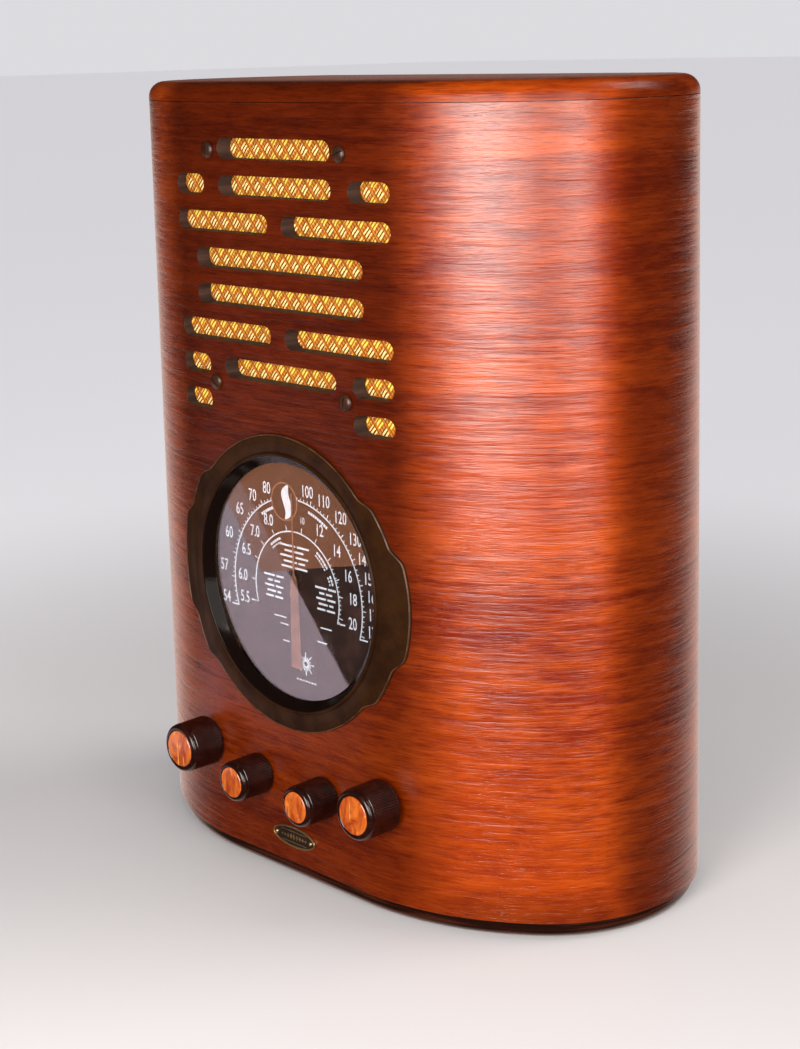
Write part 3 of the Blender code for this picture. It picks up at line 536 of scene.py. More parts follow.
def cut(piece, bm, operation="DIFFERENCE"):
    """Cuts a shape out of a piece at once, and removes the cutter."""
    mesh = bpy.data.meshes.new("cutter")
    bm.to_mesh(mesh)
    bm.free()
    cutter = bpy.data.objects.new("cutter", mesh)
    show(cutter)
    modifier = piece.modifiers.new("cut", "BOOLEAN")
    modifier.operation = operation
    modifier.solver = "EXACT"
    modifier.object = cutter
    settle(piece)
    bpy.data.objects.remove(cutter, do_unlink=True)


def settle(piece):
    """Bakes a piece's modifiers into its mesh."""
    graph = bpy.context.evaluated_depsgraph_get()
    mesh = bpy.data.meshes.new_from_object(piece.evaluated_get(graph))
    piece.modifiers.clear()
    piece.data = mesh


def soften(piece, width, segments=2, angle=40):
    """Rounds the sharp edges."""
    modifier = piece.modifiers.new("soften", "BEVEL")
    modifier.width = width
    modifier.segments = segments
    modifier.limit_method = "ANGLE"
    modifier.angle_limit = radians(angle)
    modifier.harden_normals = True
    settle(piece)


# ---------------------------------------------------------------- case


def slots():
    """(low x, high x, row) of each slot in the grille, with the top row first."""
    both = []
    for side in (-1, 1):
        outer = sorted((side * 0.0520, side * 0.0767))
        wide = sorted((side * 0.0050, side * 0.0767))
        both += [(*outer, row) for row in (2, 7, 8)]
        both += [(*wide, row) for row in (3, 6)]
    both += [(-0.0408, 0.0408, row) for row in (1, 2, 7)]
    return both + [(-0.0603, 0.0603, row) for row in (4, 5)]


def true_skin(piece):
    """Gives the corners that lie on the case's skin their exact normals, so the lacquer shows no facets."""
    mesh = piece.data
    normals = []
    for corner, loop in zip(mesh.corner_normals, mesh.loops):
        exact, off = skin(mesh.vertices[loop.vertex_index].co)
        found = Vector(corner.vector)
        normals.append(exact if abs(off) < 4e-5 and found.dot(exact) > 0.86 else found)
    mesh.normals_split_custom_set(normals)


def board(levels):
    """The case's plan as a solid, from (inset, height) pairs."""
    return ringed([[(x, y, z) for x, y in case_outline(pull, CASE_DEPTH - pull)] for pull, z in levels])


def make_case():
    outline = case_outline(0) + case_outline(WALL)[::-1]
    shell = place(
        "case", prism(outline, BASE_HEIGHT + GAP, BODY_TOP - GAP), "veneer", ("cabinet_shell",), "veneer"
    )
    landing = [(-0.0838, 0.2287), (0.0838, 0.2287), (0.0838, 0.3783), (-0.0838, 0.3783)]
    cut(shell, prism(landing, FRONT_Y + 0.0082, FRONT_Y + 3 * WALL, "Y"))
    holes = bmesh.new()
    front, back = FRONT_Y - WALL, FRONT_Y + 2 * WALL
    for low_x, high_x, row in slots():
        add_prism(holes, slot(low_x, high_x, ROW_TOP - ROW_PITCH * (row - 1)), front, back, "Y")
    for x, z in SCREWS:
        add_prism(holes, circle((x, z), SCREW_HOLE, 16), front, back, "Y")
    for x, z, _, _ in KNOBS.values():
        add_prism(holes, circle((x, z), SHAFT_HOLE, 24), front, back, "Y")
    add_prism(holes, circle((0, DIAL_Z), DIAL_HOLE, 96), front, back, "Y")
    cut(shell, holes)
    soften(shell, 0.0007, 2, 50)
    shell.data.materials.append(LOOKS["ply"])
    shell.data.materials.append(LOOKS["slot_wall"])
    for face in shell.data.polygons:
        normal, off = skin(face.center)
        depth = face.center.y - FRONT_Y
        if abs(off) < 0.0008:
            continue
        in_front = depth < WALL + 0.001 and abs(face.center.x) < 0.09 and abs(face.normal.y) < 0.9
        face.material_index = 2 if in_front else 1
    true_skin(shell)

    radius = 0.0080
    levels = [(0.0, BODY_TOP), (0.0, BODY_TOP + 0.0005)]
    for angle in quarter(10)[1:]:
        levels.append((radius * (1 - cos(angle)), TOP_HEIGHT - radius + radius * sin(angle)))
    place("top", board(levels), "top", ("top_board",), "veneer")

    radius, inset = BASE_HEIGHT / 2, 0.0025
    levels = [(inset, BASE_HEIGHT)]
    for angle in quarter(8):
        levels.append((inset + radius * (1 - cos(angle)), radius - radius * sin(angle)))
    place("base", board(levels), "dark_wood", ("base_board",), "dark_base")


def make_cloth():
    """The cloth is stretched over the baffle. Its lozenges stand a little proud of the threads between them."""
    low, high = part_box("grille_cloth")
    wide, tall = high.x - low.x, high.z - low.z
    columns, rows = 210, 188
    bm = bmesh.new()
    sheets = []
    for y, relief in ((low.y, 0.00022), (high.y, 0.0)):
        grid = []
        for j in range(rows + 1):
            line = []
            for i in range(columns + 1):
                x, z = low.x + wide * i / columns, low.z + tall * j / rows
                up = abs(sin(pi * (x / CELL_WIDE + z / CELL_TALL)))
                down = abs(sin(pi * (x / CELL_WIDE - z / CELL_TALL)))
                line.append(bm.verts.new((x, y + relief * max(up, down) ** 3, z)))
            grid.append(line)
        sheets.append(grid)
    for grid in sheets:
        for j in range(rows):
            for i in range(columns):
                bm.faces.new((grid[j][i], grid[j][i + 1], grid[j + 1][i + 1], grid[j + 1][i]))
    edge = [(0, i) for i in range(columns)] + [(j, columns) for j in range(rows)]
    edge += [(rows, i) for i in range(columns, 0, -1)] + [(j, 0) for j in range(rows, 0, -1)]
    for (j, i), (n, m) in zip(edge, edge[1:] + edge[:1]):
        bm.faces.new((sheets[0][j][i], sheets[0][n][m], sheets[1][n][m], sheets[1][j][i]))
    bmesh.ops.recalc_face_normals(bm, faces=bm.faces)
    cloth = place("grille_fabric", bm, "cloth", ("grille_cloth",), "grille_cloth")


def make_screws():
    """Round-head screws with a slot, each turned its own way."""
    for number, (x, z) in enumerate(SCREWS, 1):
        centre = Vector((x, FRONT_Y, z))
        profile = [(0, -0.0170), (0.0008, -0.0158), (0.0016, -0.0140), (0.0016, 0.0003), (0.0040, 0.0003)]
        for angle in quarter(8):
            profile.append((0.0041 * cos(angle), 0.0005 + 0.0019 * sin(angle)))
        screw = place(
            f"screw_{number}", ringed(turned(profile, centre, 40)), "bronze",
            (f"baffle_screw_{number}",), "dark_bronze",
        )
        groove = bmesh.new()
        line = [(-0.006, -0.00045), (0.006, -0.00045), (0.006, 0.00045), (-0.006, 0.00045)]
        add_prism(groove, line, -0.0040, -0.0014, "Y")
        turn = Matrix.Translation(centre) @ Matrix.Rotation(0.5 + 1.1 * number, 4, "Y")
        bmesh.ops.transform(groove, matrix=turn, verts=groove.verts)
        cut(screw, groove)
        soften(screw, 0.00012, 1, 50)


# ---------------------------------------------------------------- dial


def outer_radius(angle):
    """The scalloped outline: an ear each side, and a lobe above and below each ear."""
    folded = abs(degrees(atan2(sin(angle), abs(cos(angle)))))
    steps = ((0.0, EAR_RADIUS), (15.0, EAR_RADIUS), (23.0, LOBE_RADIUS), (35.5, LOBE_RADIUS), (44.0, RIM_RADIUS))
    for (start, first), (end, second) in zip(steps, steps[1:]):
        if folded <= end:
            share = max(0.0, (folded - start) / (end - start))
            return first + (second - first) * (1 - cos(pi * share)) / 2
    return RIM_RADIUS


def make_escutcheon():
    """A pressed plate that follows the front, with a raised edge line and a sloped lip round the opening."""
    opening = DIAL_OPENING
    inner = [(opening - 0.0042, -0.0032), (opening - 0.0040, -0.0027), (opening - 0.0008, -0.0006)]
    for k in range(9):
        angle = radians(150 - 20 * k)
        inner.append((opening + 0.0007 + 0.0011 * cos(angle), 0.0006 + 0.0009 * sin(angle)))
    outer = [(0.0012, 0.0012), (0.0005, 0.0011), (0.0001, 0.0009), (0.0, 0.0006), (0.0, 0.0002)]
    under = [(0.0700, 0.0002), (DIAL_HOLE - 0.0006, 0.0004), (DIAL_HOLE - 0.0006, -0.0032)]
    steps = 360
    rings = []

    def ring(radius_of, height):
        points = []
        for k in range(steps):
            angle = 2 * pi * k / steps
            radius = radius_of(angle)
            x = radius * cos(angle)
            follow = min(1.0, max(0.0, (radius - 0.0685) / 0.004))
            points.append((x, FRONT_Y + follow * skin_depth(x) - height, DIAL_Z + radius * sin(angle)))
        rings.append(points)

    for radius, height in inner:
        ring(lambda angle, r=radius: r, height)
    for share in (0.15, 0.5, 0.85):
        ring(lambda angle, s=share: PLATE_LAND + s * (outer_radius(angle) - 0.0020 - PLATE_LAND), 0.0011)
    for pull, height in outer:
        ring(lambda angle, p=pull: outer_radius(angle) - p, height)
    for radius, height in under:
        ring(lambda angle, r=radius: r, height)
    place(
        "dial_surround", ringed(rings, closed=True), "surround", ("dial_escutcheon",),
        "dark_bronze", 50,
    )
    rings = []
    edge_line = (
        (0.0009, 0.0008), (0.0008, 0.0012), (0.0006, 0.0014), (0.0004, 0.0014), (0.0002, 0.0012), (0.0001, 0.0008),
    )
    for pull, height in edge_line:
        ring(lambda angle, p=pull: outer_radius(angle) - p, height)
    place("dial_rim", ringed(rings, closed=True), "rim", (), "dark_bronze", 50)


def add_print(bm, outline):
    """Ink on the scale."""
    face = FRONT_Y + SCALE_DEPTH
    add_prism(bm, outline, face - 0.00009, face - 0.00003, "Y")


def band(bm, radius, start, end, half_width, steps=60, centre=(0, PIVOT_Z)):
    """A thin printed arc on the dial, with angles from the top, clockwise, in degrees."""
    points = []
    for edge, order in ((radius - half_width, 1), (radius + half_width, -1)):
        line = []
        for k in range(steps + 1):
            angle = radians(start + (end - start) * k / steps)
            line.append((centre[0] + edge * sin(angle), centre[1] + edge * cos(angle)))
        points += line[::order]
    add_print(bm, points)


def mark(bm, x, z, wide, tall, turn=0.0):
    """A small printed bar, about a point given from the pivot."""
    c, s = cos(turn), sin(turn)
    corners = [(-wide, -tall), (wide, -tall), (wide, tall), (-wide, tall)]
    points = [(x + (a * c + b * s) / 2, PIVOT_Z + z + (b * c - a * s) / 2) for a, b in corners]
    add_print(bm, points)


def tick(bm, radius, angle, length, wide=0.00045):
    turn = radians(angle)
    middle = radius + length / 2
    mark(bm, middle * sin(turn), middle * cos(turn), wide, length, turn)


def numeral(text, x, z, size):
    """Text as a mesh of its own, facing the front."""
    curve = bpy.data.curves.new("numeral", "FONT")
    curve.body = text
    curve.size = size
    curve.align_x = "CENTER"
    curve.align_y = "CENTER"
    curve.extrude = 0.00003
    curve.offset = size * 0.004
    curve.resolution_u = 3
    made = bpy.data.objects.new("numeral", curve)
    show(made)
    mesh = bpy.data.meshes.new_from_object(made.evaluated_get(bpy.context.evaluated_depsgraph_get()))
    bpy.data.objects.remove(made, do_unlink=True)
    stand = Matrix.Translation((x, FRONT_Y + SCALE_DEPTH - 0.00006, PIVOT_Z + z)) @ Matrix.Rotation(pi / 2, 4, "X")
    mesh.transform(stand @ Matrix.Diagonal((0.70, 1, 1, 1)))
    return mesh


def print_numbers(bm, numbers, radius, spread, size):
    """Numbers on an arc that is wider at the sides. The ten is small."""
    for text, angle in numbers:
        turn = radians(angle)
        reach = radius + spread * abs(sin(turn))
        tall = 0.0050 if text == "10" else size
        bm.from_mesh(numeral(text, reach * sin(turn), reach * cos(turn), tall))


def make_dial():
    centre = Vector((0, FRONT_Y, DIAL_Z))
    edge = 0.0615
    face = [(0.0022, -0.0084), (edge, -0.0084), (edge, -0.0076), (0.0022, -0.0076)]
    plate = ringed(turned(face, centre, 128), closed=True)
    for x, z in ((-0.042, 0.118), (-0.042, 0.175), (0.042, 0.175)):
        add_prism(plate, circle((x, z), 0.0025, 24), FRONT_Y + 0.0085, FRONT_Y + 0.0337, "Y")
    place("dial_board", plate, "dial", ("dial_plate",), "dial_face")

    printed = bmesh.new()
    outer, inner = 0.0474, 0.0310
    band(printed, outer, -SCALE_END, -21, 0.00034)
    band(printed, outer, 4, SCALE_END, 0.00034)
    band(printed, inner, -SCALE_END, SCALE_END, 0.00034)
    for angle in range(-105, 106, 3):
        if -20 < angle < 3:
            continue
        tick(printed, outer, angle, 0.0026 if angle % 15 == 0 else 0.0015)
    for angle in (-107, -87, -66, -49, -30, -11, 9, 28, 49, 68, 83, 102, 107):
        tick(printed, inner, angle, 0.0030)
    for angle in range(54, 107, 4):
        tick(printed, inner, angle, 0.0014)
    for side in (-1, 1):
        turn = radians(SCALE_END)
        mark(printed, side * (outer + 0.0026) * sin(turn), outer * cos(turn) - 0.0004, 0.0056, 0.0007)
        mark(printed, side * (inner + 0.0026) * sin(turn), inner * cos(turn) - 0.0004, 0.0056, 0.0007)
    for start, count in ((-34, 6), (14, 9)):
        for k in range(count):
            band(printed, 0.0438, start + 2.2 * k, start + 2.2 * k + 1.7, 0.0007, 3)
    for start, count in ((-40, 5), (34, 6), (62, 3)):
        for k in range(count):
            band(printed, 0.0283, start + 3.6 * k, start + 3.6 * k + 2.9, 0.0006, 3)
            band(printed, 0.0264, start + 3.6 * k, start + 3.6 * k + 2.4, 0.0004, 3)
    blocks = ((-0.001, 0.0235, 5, 0.024), (-0.0170, 0.0062, 5, 0.016), (0.0215, 0.0062, 5, 0.016))
    for x, top, lines, wide in blocks:
        for k in range(lines):
            share = (0.94, 0.58, 0.86, 0.66, 0.80)[k]
            first = (0.55, 0.40, 0.5, 0.62, 0.45)[k] * wide * share
            rest = wide * share - first - 0.0012
            start = x - wide * share / 2
            mark(printed, start + first / 2, top - 0.0027 * k, first, 0.0010)
            mark(printed, start + first + 0.0012 + rest / 2, top - 0.0027 * k, rest, 0.0010)
    dashes = (
        (-0.013, -0.014, 0.009), (-0.010, -0.0175, 0.006), (0.021, -0.014, 0.008), (0.018, -0.0215, 0.007),
        (-0.009, -0.026, 0.005),
    )
    for x, z, wide in dashes:
        mark(printed, x, z, wide, 0.0006)
    for k in range(16):
        reach = 0.0050 if k % 2 else 0.0072
        turn = radians(360 * k / 16)
        x, z = 0.0052 + 0.5 * reach * sin(turn), -0.0350 + 0.5 * reach * cos(turn)
        mark(printed, x, z, 0.0006, reach - 0.0024, turn)
    for k in range(7):
        mark(printed, 0.0052 + 0.0022 * (k - 3), -0.0440, 0.0013, 0.0008)
    numbers = (
        ("54", -102), ("57", -85), ("60", -66), ("65", -49), ("70", -35), ("80", -22), ("100", 11), ("110", 24),
        ("120", 38), ("130", 52), ("140", 63), ("150", 73), ("160", 82), ("170", 91), ("172", 100),
    )
    print_numbers(printed, numbers, 0.0527, 0.0033, 0.0086)
    numbers = (
        ("5.5", -103), ("6.0", -87), ("6.5", -67), ("7.0", -49), ("8.0", -30), ("10", 9), ("12", 28), ("14", 49),
        ("16", 68), ("18", 84), ("20", 101),
    )
    print_numbers(printed, numbers, 0.0372, 0.0040, 0.0084)
    place("dial_print", printed, "print", (), "dial_face")

    turn = radians(-9)
    ring_x, ring_z = 0.0458 * sin(turn), 0.0458 * cos(turn)
    ring = bmesh.new()
    for start in (0, 180):
        band(ring, 0.0094, start, start + 180, 0.00035, 40, (ring_x, PIVOT_Z + ring_z))
    place("dial_ring", ring, "gold_print", (), "dial_face")
    leaf = bmesh.new()
    outline = []
    for k in range(40):
        angle = 2 * pi * k / 40
        bend = 0.0013 * cos(3 * angle)
        outline.append((ring_x + 0.0020 + 0.0030 * sin(angle) + bend, PIVOT_Z + ring_z + 0.0088 * cos(angle)))
    add_print(leaf, outline)
    place("dial_leaf", leaf, "print", (), "dial_face")

    glass = [(0, -0.0052), (GLASS_RADIUS, -0.0052), (GLASS_RADIUS, -GLASS_DEPTH), (0, -GLASS_DEPTH)]
    cover = place("dial_cover", ringed(turned(glass, centre, 128)), "glass", ("dial_glass",), "dial_glass")
    cover.visible_shadow = False

    middle = Vector((0, FRONT_Y + 0.0060, PIVOT_Z))
    half = [(-0.0380, 0.0038), (0.0060, 0.0026), (0.0085, 0.0014), (0.0105, 0.0005), (0.0505, 0.0003)]
    outline = [(x, PIVOT_Z + z) for z, x in half] + [(-x, PIVOT_Z + z) for z, x in reversed(half)]
    pointer = prism(outline, middle.y - 0.00025, middle.y + 0.00025, "Y")
    piece = place("pointer", pointer, "copper", ("dial_pointer",), "pointer", body="pointer")
    spindle = [(0, -0.0062), (0.0015, -0.0062), (0.0015, 0.0001), (0, 0.0001)]
    cut(piece, ringed(turned(spindle, middle, 32)), "UNION")
    soften(piece, 0.00012, 1, 50)
    hub = [(0, 0.00025), (0.0030, 0.00025), (0.0030, 0.0004), (0.0022, 0.0006), (0, 0.0007)]
    place("pointer_hub", ringed(turned(hub, middle, 40)), "copper", (), "pointer", body="pointer")


# ---------------------------------------------------------------- knobs and nameplate


def make_knobs():
    """Knobs with a fluted body, a smooth bright rim and a marbled insert."""
    for name, (x, z, radius, insert) in KNOBS.items():
        centre = Vector((x, FRONT_Y, z))
        flutes = round(radius * 2 * pi / 0.00125)

        def ripple(r, height, angle, outer=radius, count=flutes):
            if r < outer - 0.0006 or not 0.0022 < height < KNOB_REACH - 0.0034:
                return 0.0
            return -0.00028 * (0.5 + 0.5 * cos(count * angle))

        face = KNOB_REACH
        profile = [(0.0033, 0.0128), (0.0033, 0.0008), (radius - 0.0008, 0.0008), (radius - 0.0002, 0.0012)]
        profile += [(radius, 0.0020), (radius, 0.0026), (radius - 0.0002, face - 0.0040)]
        profile += [(radius - 0.0002, face - 0.0032)]
        profile += [(radius - 0.0004, face - 0.0030), (radius - 0.0004, face - 0.0026)]
        for angle in quarter(6):
            profile.append((radius - 0.0024 + 0.0020 * cos(angle), face - 0.0023 + 0.0020 * sin(angle)))
        profile += [(insert + 0.0005, face - 0.0003), (insert + 0.0003, face - 0.0005)]
        profile += [(insert + 0.0003, face - 0.0015), (0, face - 0.0015)]
        rings = turned([(0, 0.0128)] + profile, centre, flutes * 5, flute=ripple)
        place(f"knob_{name}", ringed(rings), "knob", (f"{name}_knob",), "knob", body=name)
        disc = [(0, face - 0.0012), (insert, face - 0.0012), (insert, face - 0.0004), (insert - 0.0003, face - 0.0001)]
        disc += [(insert * 0.8, face), (insert * 0.4, face + 0.0002), (0, face + 0.0002)]
        place(
            f"marble_{name}", ringed(turned(disc, centre, 72)), "amber",
            (f"{name}_insert",), "amber_insert", body=name,
        )


def make_nameplate():
    """An oval plate with a raised brass border, a dark field, two pins and a plain ornament."""
    def oval(long, high, y):
        points = []
        for k in range(64):
            angle = 2 * pi * k / 64
            points.append((long * cos(angle), FRONT_Y - y, BADGE_Z + high * sin(angle)))
        return points

    long, high = 0.0156, 0.0054
    rings = [oval(long - 0.0009, high - 0.0009, 0.0003), oval(long, high, 0.0003), oval(long, high, 0.0009)]
    rings += [oval(long - 0.0002, high - 0.0002, 0.0012), oval(long - 0.0006, high - 0.0006, 0.0012)]
    rings += [oval(long - 0.0008, high - 0.0008, 0.0009), oval(long - 0.0009, high - 0.0009, 0.0007)]
    ornament = ringed(rings, closed=True)
    for side in (-1, 1):
        pin = Vector((side * 0.0127, FRONT_Y, BADGE_Z))
        head = [(0, 0.0006), (0.0010, 0.0006), (0.0010, 0.0011), (0.0006, 0.0016), (0, 0.0018)]
        add_rings(ornament, turned(head, pin, 20))
    for k in range(-4, 5):
        tall = 0.0016 - 0.00022 * abs(k)
        x = 0.0022 * k
        lozenge = [(x, BADGE_Z - tall), (x + 0.0008, BADGE_Z), (x, BADGE_Z + tall), (x - 0.0008, BADGE_Z)]
        add_prism(ornament, lozenge, FRONT_Y - 0.0009, FRONT_Y - 0.0006, "Y")
    for side in (-1, 1):
        near, far = BADGE_Z + side * 0.0027, BADGE_Z + side * 0.0030
        line = [(-0.0095, near), (0.0095, near), (0.0095, far), (-0.0095, far)]
        add_prism(ornament, line, FRONT_Y - 0.0009, FRONT_Y - 0.0006, "Y")
    place("badge", ornament, "brass", ("nameplate",), "brass")
    field = ringed([oval(long - 0.0010, high - 0.0010, 0.0004), oval(long - 0.0010, high - 0.0010, 0.0007)])
    place("badge_field", field, "badge_field", (), "dark_bronze")


# ---------------------------------------------------------------- inside


def valve_rings(bulge, height, centre):
    """A hollow, shouldered glass envelope: its inner wall down from the dome, then its outer wall up again."""
    low, neck = 0.0263, 0.0115

    def wall(inset):
        line = [(0.0128 - inset, low), (0.0136 - inset, low + 0.001), (0.0135 - inset, low + 0.005)]
        for k in range(9):
            share = (1 - cos(pi * k / 8)) / 2
            line.append((0.0135 + (bulge - 0.0135) * share - inset, low + 0.006 + 0.002 * k))
        line.append((bulge - inset, low + 0.030))
        for k in range(9):
            share = (1 - cos(pi * k / 8)) / 2
            line.append((bulge + (neck - bulge) * share - inset, low + 0.033 + 0.013 * k / 8))
        middle = low + height - 0.009
        line.append((neck - inset, middle - 0.0005))
        for angle in quarter(8):
            line.append(((neck - inset) * cos(angle), middle + (0.009 - inset) * sin(angle)))
        return line

    return turned(wall(GLASS_WALL)[::-1] + wall(0), centre, 48, "Z")


def anode_ribs(radius, height, angle):
    return 0.0005 * cos(8 * angle) if radius > 0.004 else 0.0


def make_valves():
    """Each valve: a base with a waist, its glass, and inside it the anode, two mica discs and the stem."""
    for number in range(1, 6):
        low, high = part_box(f"valve_base_{number}")
        centre = Vector(((low.x + high.x) / 2, (low.y + high.y) / 2, low.z))
        foot = [(0, 0), (0.0165, 0), (0.0165, 0.0026), (0.0160, 0.0031), (0.0148, 0.0038), (0.0145, 0.0050)]
        foot += [(0.0142, 0.0220), (0.0145, 0.0225), (0.0145, 0.0254), (0.0140, 0.0260), (0, 0.0260)]
        place(
            f"valve_foot_{number}", ringed(turned(foot, centre, 48, "Z")), "bakelite",
            (f"valve_base_{number}",), "valve_base",
        )
        bulge, height = (0.0175, 0.072) if number == 5 else (0.0160, 0.062)
        bulb = place(
            f"valve_bulb_{number}", ringed(valve_rings(bulge, height, centre)), "bulb",
            (f"valve_{number}",), "valve_glass",
        )
        bulb.visible_shadow = False
        inside = bmesh.new()
        anode = [(0, 0.036), (0.0078, 0.036), (0.0078, 0.062), (0, 0.062)]
        add_rings(inside, turned(anode, centre, 48, "Z", anode_ribs))
        for level in (0.0345, 0.0630):
            disc = [(0, level), (0.0108, level), (0.0108, level + 0.0005), (0, level + 0.0005)]
            add_rings(inside, turned(disc, centre, 32, "Z"))
        add_rings(inside, turned([(0, 0.0275), (0.0060, 0.0275), (0.0035, 0.0335), (0, 0.0340)], centre, 24, "Z"))
        place(f"valve_anode_{number}", inside, "anode", (), "iron")


def make_speaker():
    """The basket, cone and magnet with round edges, in place of their plain solids."""
    centre = Vector((0, FRONT_Y + 0.0177, SPEAKER_Z))
    basket = [
        (0.0580, 0), (0.0698, 0), (0.0700, -0.0002), (0.0700, -0.0012), (0.0697, -0.0014), (0.0620, -0.0014),
        (0.0608, -0.0020), (0.0560, -0.0120), (0.0330, -0.0352), (0.0318, -0.0359), (0.0185, -0.0360),
        (0.0185, -0.0345), (0.0305, -0.0345), (0.0318, -0.0338), (0.0545, -0.0110),
    ]
    piece = place(
        "speaker_basket", ringed(turned(basket, centre, 96), closed=True), "black_paint",
        ("speaker_frame",), "painted_steel",
    )
    windows = bmesh.new()
    for k in range(4):
        angle = pi / 4 + k * pi / 2
        spread = radians(30)
        outline = arc((0, SPEAKER_Z), 0.051, angle - spread, angle + spread, 18)
        outline += arc((0, SPEAKER_Z), 0.037, angle + spread, angle - spread, 18)
        add_prism(windows, outline, centre.y + 0.005, centre.y + 0.06, "Y")
    cut(piece, windows)
    soften(piece, 0.0003, 1, 50)
    magnet = [
        (0.0128, -0.0363), (0.0282, -0.0363), (0.0290, -0.0371), (0.0290, -0.0480), (0.0283, -0.0484),
        (0.0283, -0.0500), (0.0290, -0.0504), (0.0290, -0.0722), (0.0272, -0.0740), (0.0005, -0.0740),
        (0.0005, -0.0360), (0.0104, -0.0360), (0.0104, -0.0560), (0.0128, -0.0560),
    ]
    pot = ringed(turned(magnet, centre, 72), closed=True)
    place("speaker_pot", pot, "iron", ("speaker_magnet",), "iron")
    cone = [
        (0.0565, -0.0010), (0.0555, -0.0032), (0.0545, -0.0036), (0.0400, -0.0140), (0.0190, -0.0290),
        (0.0120, -0.0290), (0.0120, -0.0480), (0.0112, -0.0480), (0.0112, -0.0275), (0.0190, -0.0275),
        (0.0400, -0.0125), (0.0540, -0.0010),
    ]
    place(
        "speaker_paper", ringed(turned(cone, centre, 96), closed=True), "paper",
        ("speaker_cone",), "cone_paper",
    )


def dress_nodes():
    """CAD pieces that keep their shape take a detailed material and soft edges."""
    chosen = {
        "baffle_board": "ply", "chassis": "tin", "gang_bracket": "tin", "gang_frame": "tin", "gang_rotor": "aluminium",
        "gang_stator": "aluminium", "drive_drum": "brass", "drive_belt": "rubber", "cord_grommet": "rubber",
        "filter_capacitor": "aluminium", "if_can": "aluminium", "transformer_core": "laminations",
        "transformer_cover": "black_paint", "transformer_base": "black_paint", "tuning_bearing": "brass",
        "lamp_holder": "steel", "dial_lamp": "lamp",
    }
    for name in KNOBS:
        chosen[f"{name}_shaft"] = "steel"
        if name != "tuning":
            chosen[f"{name}_control"] = "tin"
    for name, look in chosen.items():
        mesh = NODES[name].data
        mesh.materials.clear()
        mesh.materials.append(LOOKS[look])
        mesh.shade_smooth()
        mesh.set_sharp_from_angle(angle=radians(38))
        if name in ("chassis", "gang_frame", "gang_bracket", "if_can", "transformer_core", "baffle_board"):
            modifier = NODES[name].modifiers.new("edges", "BEVEL")
            modifier.width = 0.0003
            modifier.segments = 2
            modifier.limit_method = "ANGLE"
            modifier.angle_limit = radians(50)


# ---------------------------------------------------------------- stage, light and camera


def rectangle(x, y):
    return [(-x, -y, 0), (x, -y, 0), (x, y, 0), (-x, y, 0)], [], [(0, 1, 2, 3)]


def make_floor():
    """A plain pale floor, the same from every side. It is lighter far off, where the windows light it less."""
    look = Look("floor", (0.8, 0.8, 0.8), 0.9)
    look.shader.inputs["Specular IOR Level"].default_value = 0.1
    x, y = look.axis("X"), look.axis("Y")
    distance = look.maths("SQRT", look.line(x, x, look.times(y, y)))
    look.color(look.mix(look.step(distance, 0.30, 0.90), (0.565, 0.54, 0.535), (0.86, 0.84, 0.85)))
    look.bump(look.noise(300, 3), 0.00005)
    mesh = bpy.data.meshes.new("floor")
    mesh.from_pydata(*rectangle(FLOOR_HALF, FLOOR_HALF))
    mesh.materials.append(look.material)
    floor = bpy.data.objects.new("floor", mesh)
    floor.location.z = -0.0002
    floor.visible_glossy = floor.visible_transmission = False
    show(floor)


def make_surround():
    """An even surround: one tone to the camera, one as light, and in gloss a dark room with a screen at one side."""
    world = bpy.data.worlds.new("surround")
    world.use_nodes = True
    nodes, links = world.node_tree.nodes, world.node_tree.links

    def shade(color, strength):
        node = nodes.new("ShaderNodeBackground")
        node.inputs["Color"].default_value = (*color, 1)
        node.inputs["Strength"].default_value = strength
        return node

    def blend(share, first, second):
        node = nodes.new("ShaderNodeMixShader")
        for source, socket in zip((share, first.outputs[0], second.outputs[0]), node.inputs):
            links.new(source, socket)
        return node

    lit = shade((0.90, 0.93, 1.0), 0.58)
    seen = shade((0.718, 0.710, 0.738), 1.0)
    room = shade((1.0, 0.6, 0.4), 0.035)
    screen = shade((1.0, 0.78, 0.70), 0.74)
    away = nodes.new("ShaderNodeVectorMath")
    away.operation = "DOT_PRODUCT"
    links.new(nodes.new("ShaderNodeTexCoord").outputs["Generated"], away.inputs[0])
    away.inputs[1].default_value = (-0.60, 0.80, -1.2)
    behind = nodes.new("ShaderNodeMapRange")
    behind.interpolation_type = "SMOOTHSTEP"
    links.new(away.outputs["Value"], behind.inputs[0])
    behind.inputs[1].default_value = 0.86
    behind.inputs[2].default_value = 1.02
    path = nodes.new("ShaderNodeLightPath")
    mirrored = blend(behind.outputs[0], room, screen)
    either = nodes.new("ShaderNodeMath")
    either.operation = "MAXIMUM"
    links.new(path.outputs["Is Glossy Ray"], either.inputs[0])
    links.new(path.outputs["Is Transmission Ray"], either.inputs[1])
    other = blend(either.outputs[0], lit, mirrored)
    whole = blend(path.outputs["Is Camera Ray"], other, seen)
    links.new(whole.outputs[0], nodes["World Output"].inputs[0])
    bpy.context.scene.world = world
    bpy.context.scene.view_settings.view_transform = "Standard"


